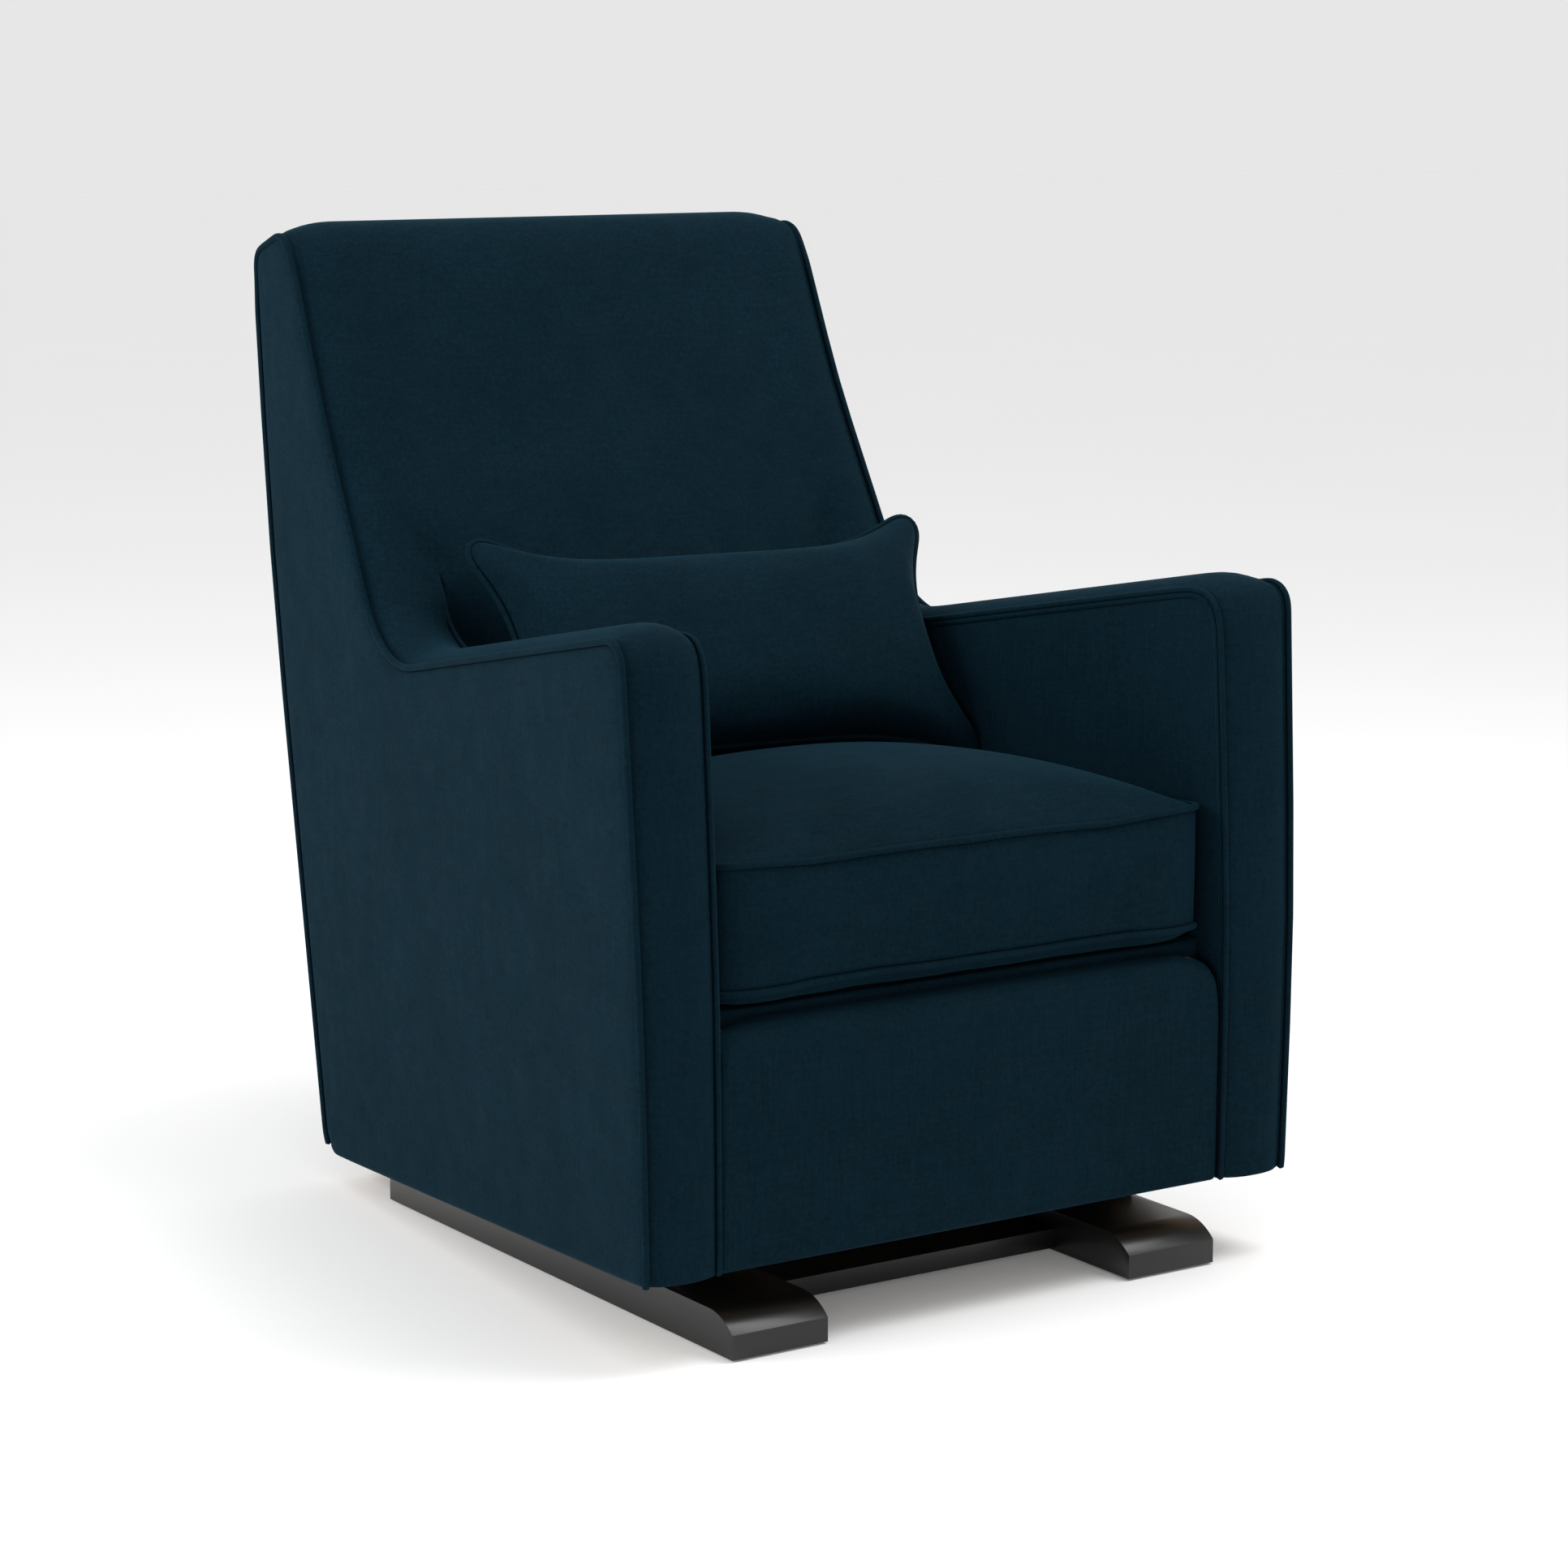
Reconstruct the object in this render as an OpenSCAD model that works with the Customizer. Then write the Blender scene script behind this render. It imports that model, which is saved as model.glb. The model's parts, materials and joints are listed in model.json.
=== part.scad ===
// Glider nursery chair: a padded tub body that hangs from a wooden skid base on four swinging links.
// The chair faces -Y and +Z is up. The origin is on the floor, under the middle of the whole chair.
// Inside the modules, y is measured rearward from the skid noses and from_front() puts it in place.

/* [Overall size] */
// Width across the side panels at the front of the hem
front_w = 724; // [600:1:870]
// Width across the side panels at the rear
rear_w = 556; // [500:1:600]
// Depth from the skid noses to the rear of the back
overall_d = 850; // [740:1:1020]
// Height to the crown of the back, before its corners are rounded
overall_h = 980; // [900:1:1180]
// Outward lean of each side panel in degrees
side_flare = 1.2; // [0:0.1:3]

/* [Side outline] */
// Height of the hem at the front
hem_front_h = 81; // [70:1:120]
// Height of the hem at the rear corner
hem_rear_h = 29; // [24:1:60]
// How far the body stands behind the skid noses
body_setback = 4.5; // [4:0.5:30]
// Height where the arm front bellies forward
belly_h = 330; // [250:5:420]
// How far the arm front leans back at its top
arm_front_lean = 20; // [0:1:50]
// Height of the arm at its front corner
arm_front_h = 649; // [600:1:720]
// Height where the arm line would meet the back line
arm_dip_h = 551; // [520:1:580]
// Depth from that meeting to the rear of the chair
back_run = 296; // [240:1:340]
// Thickness of the back at its top
back_top_t = 85; // [60:1:110]
// Fall of the top edge from front to rear
top_drop = 26; // [5:1:50]
// Rise of the padded crown above the side panels
back_crown = 10; // [4:1:20]
// How far the back edge sweeps behind a straight line
back_sweep = 11; // [2:1:25]
// Height of the bend in the rear edge
rear_mid_h = 640; // [500:5:760]
// Tuck of the rear edge at that bend
rear_mid_tuck = 15; // [5:1:20]
// Tuck of the rear edge at the hem
rear_hem_tuck = 104; // [80:1:130]

/* [Upholstery] */
// Width of each arm
arm_w = 78; // [65:1:100]
// Thickness of the outer fabric skins
skin_t = 4; // [2:0.5:6]
// Thickness of the padding on the arm fronts and tops
arm_pad_t = 30; // [15:1:45]
// Thickness of the inner arm padding
inner_pad_t = 10; // [5:1:20]
// Thickness of the inside back padding
back_pad_t = 40; // [25:1:60]
// Height that a welt stands out of its seam
welt_h = 4; // [2:0.5:5]
// Width of a welt
welt_w = 6; // [4:0.5:8]
// Drop from the seat deck to the apron's top
apron_drop = 13; // [8:1:20]
// Thickness of the apron padding
apron_pad_t = 26; // [12:1:35]

/* [Frame] */
// Thickness of the plywood side frames
ply_t = 12; // [9:1:15]
// Thickness of the inner arm boards
inner_ply_t = 9; // [6:1:12]
// Thickness of the solid wood rails
rail_t = 22; // [18:1:28]
// Depth of the arm posts behind the arm front padding
post_d = 42; // [30:1:60]
// Clearance between the pivot brackets and the seat frame
frame_clear = 10; // [5:1:20]
// Rise of the seat deck above the underside of the seat frame, at the rear rail
deck_rise = 54; // [50:1:70]
// Distance of the rear rail behind the seat back's line
rear_rail_run = 88; // [75:1:100]
// Thickness of the seat deck
deck_t = 9; // [5:1:12]
// Fall of the seat toward the back in degrees
seat_pitch = 3.5; // [0:0.5:6]
// Number of seat springs
spring_count = 5; // [3:1:6]
// Thickness of the spring wire
wire_t = 3.6; // [3:0.1:5]

/* [Cushions] */
// Height of the seat cushion at its edge seams
cushion_t = 126; // [100:1:150]
// Rise of the seat cushion's crown
cushion_crown = 32; // [15:1:45]
// Gap between the seat cushion and its neighbours
cushion_gap = 3; // [2:0.5:8]
// Thickness of a cushion cover
cover_t = 3; // [2:0.5:5]
// Gap between the pillow's ends and the inner arms
pillow_side_gap = 2; // [1:0.5:20]
// Height of the pillow's lower seam above the cushion's crown line
pillow_gap = 8; // [6:1:20]
// Height of the lumbar pillow along its lean
pillow_l = 250; // [200:1:300]
// Thickness of the lumbar pillow
pillow_t = 118; // [80:1:130]
// Lean of the lumbar pillow from upright in degrees
pillow_lean = 34; // [28:1:40]
// Turn of the lumbar pillow about the vertical in degrees
pillow_turn = 6; // [0:1:8]
// Distance from the seat back to the middle of the pillow
pillow_standoff = 108; // [100:1:130]
// Sideways shift of the pillow from the middle
pillow_shift = 17; // [0:1:20]

/* [Skid base] */
// Width of each skid
skid_w = 102; // [80:1:120]
// Height of the skid tops above the floor
skid_h = 41; // [35:1:45]
// Depth from the skids' rear ends to the rear of the chair
skid_short = 218; // [190:1:260]
// Thickness of the floor pads
floor_pad_t = 2; // [1:0.5:4]
// Radius of the skid noses
nose_r = 55; // [40:1:70]
// Depth of the skid noses
nose_d = 39; // [20:1:39]
// Radius of the skid heels
heel_r = 22; // [10:1:30]
// Thickness of the cross boards
board_t = 19; // [15:1:22]
// Width of the cross boards
board_w = 120; // [80:1:140]
// Height of the cross boards above the floor
board_z = 6; // [4:1:8]
// Distance of the front board behind the skid noses
board_setback = 112; // [60:1:140]
// Distance of the rear board ahead of the skid ends
board_rear_gap = 45; // [30:1:60]
// Radius of the dowels
dowel_r = 4; // [3:0.5:5]
// Length of the dowels
dowel_l = 40; // [30:1:50]

/* [Glide mechanism] */
// Swing of the links each way in degrees
glide_angle = 25; // [15:1:25]
// Distance between a link's two pivots
link_l = 125; // [100:1:150]
// Height of the lower pivots at rest
low_pivot_h = 75; // [70:1:80]
// Distance of the front pivots behind the skid noses
front_pivot_y = 212; // [190:1:230]
// Distance of the rear pivots ahead of the skid ends
rear_pivot_gap = 120; // [110:1:140]
// Thickness of the steel plates
plate_t = 5; // [4:0.5:6]
// Thickness of the links
link_t = 6; // [5:0.5:8]
// Half width of the links
link_r = 15; // [13:1:18]
// Radius of the pivot bolts
bolt_r = 5; // [4:0.5:6]
// Wall of the pivot bushes
bush_t = 3; // [2:0.5:4]
// Running clearance of the bolts in the bushes
bolt_clear = 0.05; // [0.02:0.01:0.1]
// Gap between the brackets and the links
link_gap = 8; // [7:0.5:10]
// Gap between the links and the carriage plates
plate_gap = 2; // [1.5:0.5:3]
// Thickness of the bolt heads
head_t = 5; // [4:0.5:5]
// Thickness of the nuts
nut_t = 8; // [6:0.5:8]
// Inset of the brackets from the skids' outer sides
bracket_inset = 34; // [30:1:40]
// Half length of a bracket's foot
foot_half = 92; // [86:1:95]
// Width of a bracket's foot
foot_w = 30; // [26:1:32]
// Radius of the rubber stops
stop_r = 8; // [6:1:10]
// Distance of the stops from the upper pivots
stop_reach = 96; // [85:1:100]
// Gap between a stop and its link at the end of the glide
stop_gap = 0.5; // [0.3:0.1:2]
// Gap between the skids and the body's sides
skid_side_gap = 4; // [3:0.5:10]

/* [Hidden] */
$fn = 48;

navy = [0.09, 0.16, 0.2];
navy_dark = [0.07, 0.12, 0.16];
black_wood = [0.05, 0.05, 0.05];
pine = [0.8, 0.66, 0.46];
plywood = [0.76, 0.6, 0.4];
steel = [0.3, 0.31, 0.33];
zinc = [0.7, 0.71, 0.72];
rubber = [0.08, 0.08, 0.08];
cambric = [0.1, 0.1, 0.1];
foam = [0.9, 0.85, 0.7];

big = 3000;
arc_step = 9;
left = -1;
right = 1;
sides = [left, right];

// ---------- plane geometry: clockwise outlines in (y, z) ----------
function unit(v) = v / norm(v);
function right_of(v) = [v[1], -v[0]];
function cross2(u, v) = u[0] * v[1] - u[1] * v[0];
function meet(p, u, q, v) = p + u * cross2(q - p, v) / cross2(u, v);
function before(i, n) = (i + n - 1) % n;
function edge_dir(pts, i) = unit(pts[(i + 1) % len(pts)] - pts[i]);
function bend_at(pts, i) =
    let (a = edge_dir(pts, before(i, len(pts))), b = edge_dir(pts, i))
    atan2(cross2(a, b), a * b);
function spin(v, a) = [v[0] * cos(a) - v[1] * sin(a), v[0] * sin(a) + v[1] * cos(a)];
function inset_corner(pts, d, i) =
    let (j = before(i, len(pts)), a = edge_dir(pts, j), b = edge_dir(pts, i))
    meet(pts[i] + right_of(a) * d[j], a, pts[i] + right_of(b) * d[i], b);
function inset_radius(pts, d, r, i) =
    max(1, r[i] + sign(bend_at(pts, i)) * (d[before(i, len(pts))] + d[i]) / 2);
function corner_arc(pts, r, i) =
    let (
        a = edge_dir(pts, before(i, len(pts))),
        bend = bend_at(pts, i),
        start = pts[i] - a * r * tan(abs(bend) / 2),
        centre = start - right_of(a) * sign(bend) * r,
        steps = max(2, ceil(abs(bend) / arc_step))
    )
    [for (k = [0:steps]) centre + spin(start - centre, bend * k / steps)];

// ---------- the side outline ----------
rear_y = overall_d - welt_h;
top_z = overall_h - back_crown;
top_front = [rear_y - back_top_t, top_z];
dip = [overall_d - back_run, arm_dip_h];
sweep_share = 0.6;
sweep = dip + sweep_share * (top_front - dip) + right_of(unit(top_front - dip)) * back_sweep;
corners = [
    [body_setback, hem_front_h],
    [body_setback - 1, belly_h],
    [body_setback + arm_front_lean, arm_front_h],
    dip,
    sweep,
    top_front,
    [rear_y, top_z - top_drop],
    [rear_y - rear_mid_tuck, rear_mid_h],
    [rear_y - rear_hem_tuck, hem_rear_h]
];
radii = [3, 3000, 22, 105, 1000, 30, 24, 3000, 25];

// Insets of the outline's edges, in the order of its corners
function insets(front, arm, back, crown, rear, hem) =
    [front, front, arm, back, back, crown, rear, rear, hem];
function outline(d) =
    let (q = [for (i = [0:len(corners) - 1]) inset_corner(corners, d, i)])
    [for (i = [0:len(q) - 1]) each corner_arc(q, inset_radius(corners, d, radii, i), i)];

// Direction up the lower back edge, its inward normal, and the point where the arm's dip ends
back_dir = unit(sweep - dip);
back_in = right_of(back_dir);
cut_point = dip + back_dir * radii[3] * tan(abs(bend_at(corners, 3)) / 2);
function back_y(z) = dip[0] + (z - dip[1]) * back_dir[0] / back_dir[1];

// ---------- placing ----------
toe_slope = (front_w - rear_w) / 2 / overall_d;
toe = atan(toe_slope);
function side_x(y, z) = front_w / 2 - toe_slope * y + tan(side_flare) * (z - hem_front_h);

module from_front() {
    translate([0, -overall_d / 2, 0]) children();
}

// Children are drawn for the right side, and mirrored when the left is asked for
module on_side(side) {
    mirror([side == left ? 1 : 0, 0, 0]) children();
}

// The slanted space between two depths below the right side panel's outer face
module side_layer(near, far) {
    translate([front_w / 2, 0, hem_front_h])
        rotate([0, 0, toe])
            rotate([0, side_flare, 0])
                translate([-far, -big / 2, -big / 2]) cube([far - near, big, big]);
}

// A flat (y, z) shape made into a plate from x = x0 to x = x0 + t
module plate(x0, t) {
    translate([x0, 0, 0]) rotate([90, 0, 90]) linear_extrude(t) children();
}

// A flat (y, z) shape made into a slab between two depths below the right side panel's outer face
module slab(near, far) {
    intersection() {
        plate(0, big) children();
        side_layer(near, far);
    }
}

// A flat (y, z) shape run across the chair, ending at a depth below both outer faces
module across(depth) {
    intersection() {
        plate(-big / 2, big) children();
        on_side(right) side_layer(depth, big);
        on_side(left) side_layer(depth, big);
    }
}

module strip(lo, hi) {
    translate(lo) square(hi - lo);
}

// The part of the plane on the arm's side, or on the back's side, of the line where the dip ends
module arm_side() {
    polygon([cut_point - back_in * big, cut_point + back_in * big,
        cut_point + (back_in - back_dir) * big, cut_point - (back_in + back_dir) * big]);
}
module back_side() {
    polygon([cut_point - back_in * big, cut_point + back_in * big,
        cut_point + (back_in + back_dir) * big, cut_point + (back_dir - back_in) * big]);
}

module disc_x(x0, t, y, z, r) {
    translate([x0, y, z]) rotate([0, 90, 0]) cylinder(h = t, r = r);
}

// ---------- skid base ----------
skid_l = overall_d - skid_short;
glide_travel = link_l * sin(glide_angle);
wall_t = skin_t + ply_t;
skid_x = side_x(skid_l + glide_travel, skid_h) - wall_t - skid_side_gap;
skid_in_x = skid_x - skid_w;
rear_pivot_y = skid_l - rear_pivot_gap;
pivot_ys = [front_pivot_y, rear_pivot_y];
high_pivot_h = low_pivot_h + link_l;
bracket_top_r = 18;
seat_frame_h = high_pivot_h + bracket_top_r + frame_clear;
rear_rail_y = back_y(seat_frame_h) + rear_rail_run;
deck_h = seat_frame_h + deck_rise + tan(seat_pitch) * (rear_rail_y + rail_t);
apron_top_h = deck_h - apron_drop;
board_ys = [board_setback, skid_l - board_rear_gap - board_w];

bracket_x = skid_x - bracket_inset;
foot_t = plate_t;
link_x = bracket_x - link_gap - link_t;
carriage_x = link_x - plate_gap - plate_t;

screw_r = 3;
screw_l = 28;
screw_head_r = 6;
screw_head_t = 3;
screw_spread = 70;
screw_x = bracket_x + foot_w / 2 + 2;
pad_r = 14;
head_r = 1.8 * bolt_r;

nose_turn = asin(nose_d / nose_r);
nose_steps = 8;
skid_bottom = floor_pad_t;
nose_arc = [for (k = [nose_steps:-1:0])
    let (a = nose_turn * k / nose_steps)
    [nose_d - nose_r * sin(a), skid_h - nose_r + nose_r * cos(a)]];
heel_arc = [for (k = [0:nose_steps])
    let (a = 90 * k / nose_steps)
    [skid_l - heel_r + heel_r * sin(a), skid_h - heel_r + heel_r * cos(a)]];

function bracket_screw_places(side) =
    [for (y = pivot_ys) for (s = [-1, 1]) [side * screw_x, y + s * screw_spread]];

module skid(side) {
    color(black_wood) from_front() difference() {
        plate(side * (skid_x + skid_in_x) / 2 - skid_w / 2, skid_w)
            polygon(concat([[0, skid_bottom]], nose_arc, heel_arc, [[skid_l, skid_bottom]]));
        for (p = bracket_screw_places(side))
            translate([p[0], p[1], skid_h - screw_l]) cylinder(h = screw_l + 1, r = screw_r);
        for (p = dowel_places(side))
            disc_x(p[0], dowel_l, p[1], p[2], dowel_r);
    }
}

dowel_spread = 36;
function dowel_places(side) =
    [for (y = board_ys) for (s = [-1, 1])
        [side * skid_in_x - dowel_l / 2, y + board_w / 2 + s * dowel_spread, board_z + board_t / 2]];

module cross_board(y) {
    color(black_wood) from_front() difference() {
        translate([-skid_in_x, y, board_z]) cube([2 * skid_in_x, board_w, board_t]);
        for (side = sides) for (p = dowel_places(side)) disc_x(p[0], dowel_l, p[1], p[2], dowel_r);
    }
}
module front_cross_board() {
    cross_board(board_ys[0]);
}
module rear_cross_board() {
    cross_board(board_ys[1]);
}

module board_dowels() {
    color(pine) from_front()
        for (side = sides) for (p = dowel_places(side)) disc_x(p[0], dowel_l, p[1], p[2], dowel_r);
}

module floor_pads() {
    color(rubber) from_front()
        for (side = sides) for (y = [pad_r * 2, skid_l / 2, skid_l - pad_r * 2])
            translate([side * (skid_x + skid_in_x) / 2, y, 0]) cylinder(h = floor_pad_t, r = pad_r);
}

// ---------- brackets, stops and upper pivots ----------
stop_angle = glide_angle + asin((link_r + stop_r + stop_gap) / stop_reach);
function stop_place(s) = [s * stop_reach * sin(stop_angle), high_pivot_h - stop_reach * cos(stop_angle)];

// Half of a bracket's edge, from its foot past the stop to the pivot
stop_rim = 4;
shoulder = stop_place(1)[0] + stop_r + stop_rim;
bracket_edge = [[foot_half, skid_h], [foot_half, skid_h + foot_t], [shoulder, stop_place(1)[1] - stop_r],
    [shoulder, stop_place(1)[1] + stop_rim], [bracket_top_r, high_pivot_h]];

module bracket_shape() {
    difference() {
        union() {
            polygon([for (p = bracket_edge) p, for (k = [len(bracket_edge) - 1:-1:0])
                [-bracket_edge[k][0], bracket_edge[k][1]]]);
            translate([0, high_pivot_h]) circle(r = bracket_top_r);
        }
        translate([0, high_pivot_h]) circle(r = bolt_r);
    }
}

module pivot_brackets(y) {
    color(steel) from_front() for (side = sides) on_side(side) {
        difference() {
            union() {
                plate(bracket_x, plate_t) translate([y, 0]) bracket_shape();
                translate([bracket_x + plate_t, y - foot_half, skid_h])
                    cube([foot_w - plate_t, 2 * foot_half, foot_t]);
            }
            for (s = [-1, 1])
                translate([screw_x, y + s * screw_spread, skid_h - 1])
                    cylinder(h = foot_t + 2, r = screw_r);
        }
    }
}
module front_pivot_brackets() {
    pivot_brackets(front_pivot_y);
}
module rear_pivot_brackets() {
    pivot_brackets(rear_pivot_y);
}

module bracket_screws() {
    color(zinc) from_front() for (side = sides) for (p = bracket_screw_places(side))
        translate([p[0], p[1], skid_h]) {
            translate([0, 0, -screw_l]) cylinder(h = screw_l + foot_t, r = screw_r);
            translate([0, 0, foot_t]) cylinder(h = screw_head_t, r = screw_head_r);
        }
}

module glide_stops() {
    color(rubber) from_front() for (side = sides) on_side(side)
        for (y = pivot_ys) for (s = [-1, 1])
            disc_x(link_x, bracket_x - link_x, y + stop_place(s)[0], stop_place(s)[1], stop_r);
}

module each_pivot() {
    from_front() for (side = sides) on_side(side) for (y = pivot_ys)
        translate([0, y, 0]) children();
}

module pivot_nut(x0, z) {
    difference() {
        translate([x0, 0, z]) rotate([0, 90, 0]) cylinder(h = nut_t, r = head_r, $fn = 6);
        disc_x(x0 - 1, nut_t + 2, 0, z, bolt_r);
    }
}

module upper_pivot_bolts() {
    color(zinc) each_pivot() {
        disc_x(link_x - nut_t, bracket_x + plate_t - link_x + nut_t, 0, high_pivot_h, bolt_r);
        disc_x(bracket_x + plate_t, head_t, 0, high_pivot_h, head_r);
    }
}
module upper_pivot_nuts() {
    color(zinc) each_pivot() pivot_nut(link_x - nut_t - bolt_clear, high_pivot_h);
}
module pivot_spacers() {
    color(zinc) each_pivot() difference() {
        disc_x(link_x + link_t + bolt_clear, link_gap - bolt_clear, 0, high_pivot_h, bolt_r + bush_t);
        disc_x(link_x, link_gap + link_t + 1, 0, high_pivot_h, bolt_r);
    }
}

// ---------- links ----------
module swing_link(side, y) {
    color(steel) from_front() on_side(side) plate(link_x, link_t)
        translate([y, 0]) difference() {
            union() {
                translate([-link_r, low_pivot_h]) square([2 * link_r, link_l]);
                for (z = [low_pivot_h, high_pivot_h]) translate([0, z]) circle(r = link_r);
            }
            for (z = [low_pivot_h, high_pivot_h]) translate([0, z]) circle(r = bolt_r + bush_t);
        }
}
module link_bushes(y) {
    color(rubber) from_front() for (side = sides) on_side(side) plate(link_x, link_t)
        for (z = [low_pivot_h, high_pivot_h]) translate([y, z]) difference() {
            circle(r = bolt_r + bush_t);
            circle(r = bolt_r + bolt_clear);
        }
}
module front_link_bushes() {
    link_bushes(front_pivot_y);
}
module rear_link_bushes() {
    link_bushes(rear_pivot_y);
}

// ---------- carriage ----------
carriage_r = 18;
riser_half = 58;
riser_mid = (front_pivot_y + rear_pivot_y) / 2;
mount_rail_h = 34;
mount_rail_t = 32;
carriage_top = seat_frame_h + mount_rail_h;
tube_r = 11;
tube_wall = 2;
tube_spread = riser_half - tube_r - 4;
tube_ys = [riser_mid - tube_spread, riser_mid + tube_spread];
mount_bolt_r = 4;
mount_bolt_pitch = 40;
mount_head_r = 1.8 * mount_bolt_r;
mount_head_t = 4;
mount_bolt_ys = [for (k = [-1:1]) riser_mid + k * mount_bolt_pitch];
mount_bolt_z = seat_frame_h + mount_rail_h / 2;

module carriage_plate(side) {
    color(steel) from_front() on_side(side) plate(carriage_x, plate_t) difference() {
        union() {
            strip([front_pivot_y, low_pivot_h - carriage_r], [rear_pivot_y, low_pivot_h + carriage_r]);
            for (y = pivot_ys) translate([y, low_pivot_h]) circle(r = carriage_r);
            strip([riser_mid - riser_half, low_pivot_h], [riser_mid + riser_half, carriage_top]);
        }
        for (y = pivot_ys) translate([y, low_pivot_h]) circle(r = bolt_r);
        for (y = mount_bolt_ys) translate([y, mount_bolt_z]) circle(r = mount_bolt_r);
    }
}
module carriage_tubes() {
    color(steel) from_front() for (y = tube_ys) difference() {
        disc_x(-carriage_x, 2 * carriage_x, y, low_pivot_h, tube_r);
        disc_x(-carriage_x - 1, 2 * carriage_x + 2, y, low_pivot_h, tube_r - tube_wall);
    }
}
module lower_pivot_bolts() {
    color(zinc) each_pivot() {
        disc_x(carriage_x - nut_t, link_x + link_t + bolt_clear - carriage_x + nut_t, 0, low_pivot_h, bolt_r);
        disc_x(link_x + link_t + bolt_clear, head_t, 0, low_pivot_h, head_r);
    }
}
module lower_pivot_nuts() {
    color(zinc) each_pivot() pivot_nut(carriage_x - nut_t, low_pivot_h);
}
module carriage_bolts() {
    color(zinc) from_front() for (side = sides) on_side(side) for (y = mount_bolt_ys) {
        disc_x(carriage_x - mount_rail_t, mount_rail_t + plate_t, y, mount_bolt_z, mount_bolt_r);
        disc_x(carriage_x + plate_t, mount_head_t, y, mount_bolt_z, mount_head_r);
    }
}

// ---------- seat frame ----------
front_rail_y = body_setback + apron_pad_t + ply_t;
spring_rise = 3;
function deck_under(y) = deck_h - deck_t - tan(seat_pitch) * y;
front_rail_top = deck_under(front_rail_y + rail_t) - wire_t - spring_rise;
rear_rail_top = deck_under(rear_rail_y + rail_t) - wire_t - spring_rise;

module mount_rails() {
    color(pine) from_front() for (side = sides) on_side(side) difference() {
        translate([carriage_x - mount_rail_t, front_rail_y + rail_t, seat_frame_h])
            cube([mount_rail_t, rear_rail_y - front_rail_y - rail_t, mount_rail_h]);
        for (y = mount_bolt_ys)
            disc_x(carriage_x - mount_rail_t - 1, mount_rail_t + 2, y, mount_bolt_z, mount_bolt_r);
    }
}
module front_seat_rail() {
    color(pine) from_front() across(arm_w)
        strip([front_rail_y, seat_frame_h], [front_rail_y + rail_t, front_rail_top]);
}
module rear_seat_rail() {
    color(pine) from_front() across(wall_t)
        strip([rear_rail_y, seat_frame_h], [rear_rail_y + rail_t, rear_rail_top]);
}

block_l = 60;
module corner_blocks() {
    color(pine) from_front() for (side = sides) on_side(side) {
        translate([carriage_x - mount_rail_t, front_rail_y + rail_t, seat_frame_h])
            rotate([0, 0, 90]) linear_extrude(mount_rail_h) polygon([[0, 0], [block_l, 0], [0, block_l]]);
        translate([carriage_x - mount_rail_t, rear_rail_y, seat_frame_h])
            rotate([0, 0, 90]) linear_extrude(mount_rail_h) polygon([[0, 0], [0, block_l], [-block_l, 0]]);
    }
}

spring_span = rear_rail_y - front_rail_y;
max_spring_pitch = 24;
spring_loops = 2 * floor(spring_span / (2 * max_spring_pitch));
spring_pitch = spring_span / spring_loops;
spring_half_w = 26;
spring_reach = side_x(rear_rail_y, deck_h) - arm_w - spring_half_w - spring_pitch;

// One zig-zag spring, seen from above, running along +Y from the front rail
module zigzag() {
    for (i = [0:spring_loops]) translate([-spring_half_w, i * spring_pitch - wire_t / 2])
        square([2 * spring_half_w, wire_t]);
    for (i = [0:spring_loops - 1]) {
        s = i % 2 == 0 ? 1 : -1;
        translate([s * spring_half_w, (i + 0.5) * spring_pitch]) intersection() {
            difference() {
                circle(r = (spring_pitch + wire_t) / 2);
                circle(r = (spring_pitch - wire_t) / 2);
            }
            translate([s > 0 ? 0 : -spring_pitch, -spring_pitch]) square([spring_pitch, 2 * spring_pitch]);
        }
    }
}

function spring_xs() = [for (i = [0:spring_count - 1]) spring_reach * (2 * i / (spring_count - 1) - 1)];
spring_y = front_rail_y + rail_t / 2;

module on_spring_plane(lift) {
    translate([0, spring_y, deck_under(spring_y) - wire_t - spring_rise / 2 + lift])
        rotate([-seat_pitch, 0, 0]) children();
}
module seat_springs() {
    color(steel) from_front() on_spring_plane(0)
        for (x = spring_xs()) translate([x, 0, 0]) linear_extrude(wire_t) zigzag();
}
clip_l = 24;
clip_w = 0.6 * rail_t;
clip_t = 0.8;
module spring_clips() {
    color(zinc) from_front() for (x = spring_xs()) {
        translate([x - clip_l / 2, front_rail_y, front_rail_top]) cube([clip_l, clip_w, clip_t]);
        translate([x - clip_l / 2, rear_rail_y + rail_t - clip_w, rear_rail_top]) cube([clip_l, clip_w, clip_t]);
    }
}
deck_gap = 2;
deck_side_gap = 0.5;
module seat_deck() {
    color(navy_dark) from_front() across(arm_w + deck_side_gap) polygon([
        [front_rail_y, deck_under(front_rail_y)],
        [front_rail_y, deck_under(front_rail_y) + deck_t],
        [back_y(deck_back_h + deck_t) - deck_gap, deck_back_h + deck_t],
        [back_y(deck_back_h) - deck_gap, deck_back_h]
    ]);
}
// Height where the underside of the pitched deck reaches the seat back
deck_back_y = (back_y(0) + (deck_h - deck_t) * back_dir[0] / back_dir[1])
    / (1 + tan(seat_pitch) * back_dir[0] / back_dir[1]);
deck_back_h = deck_under(deck_back_y);

dust_t = 1.5;
dust_gap = 1;
module dust_cover() {
    color(cambric) from_front()
        translate([-carriage_x + mount_rail_t + dust_gap, front_rail_y, seat_frame_h - dust_t])
            cube([2 * (carriage_x - mount_rail_t - dust_gap), rear_rail_y + rail_t - front_rail_y, dust_t]);
}

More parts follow.
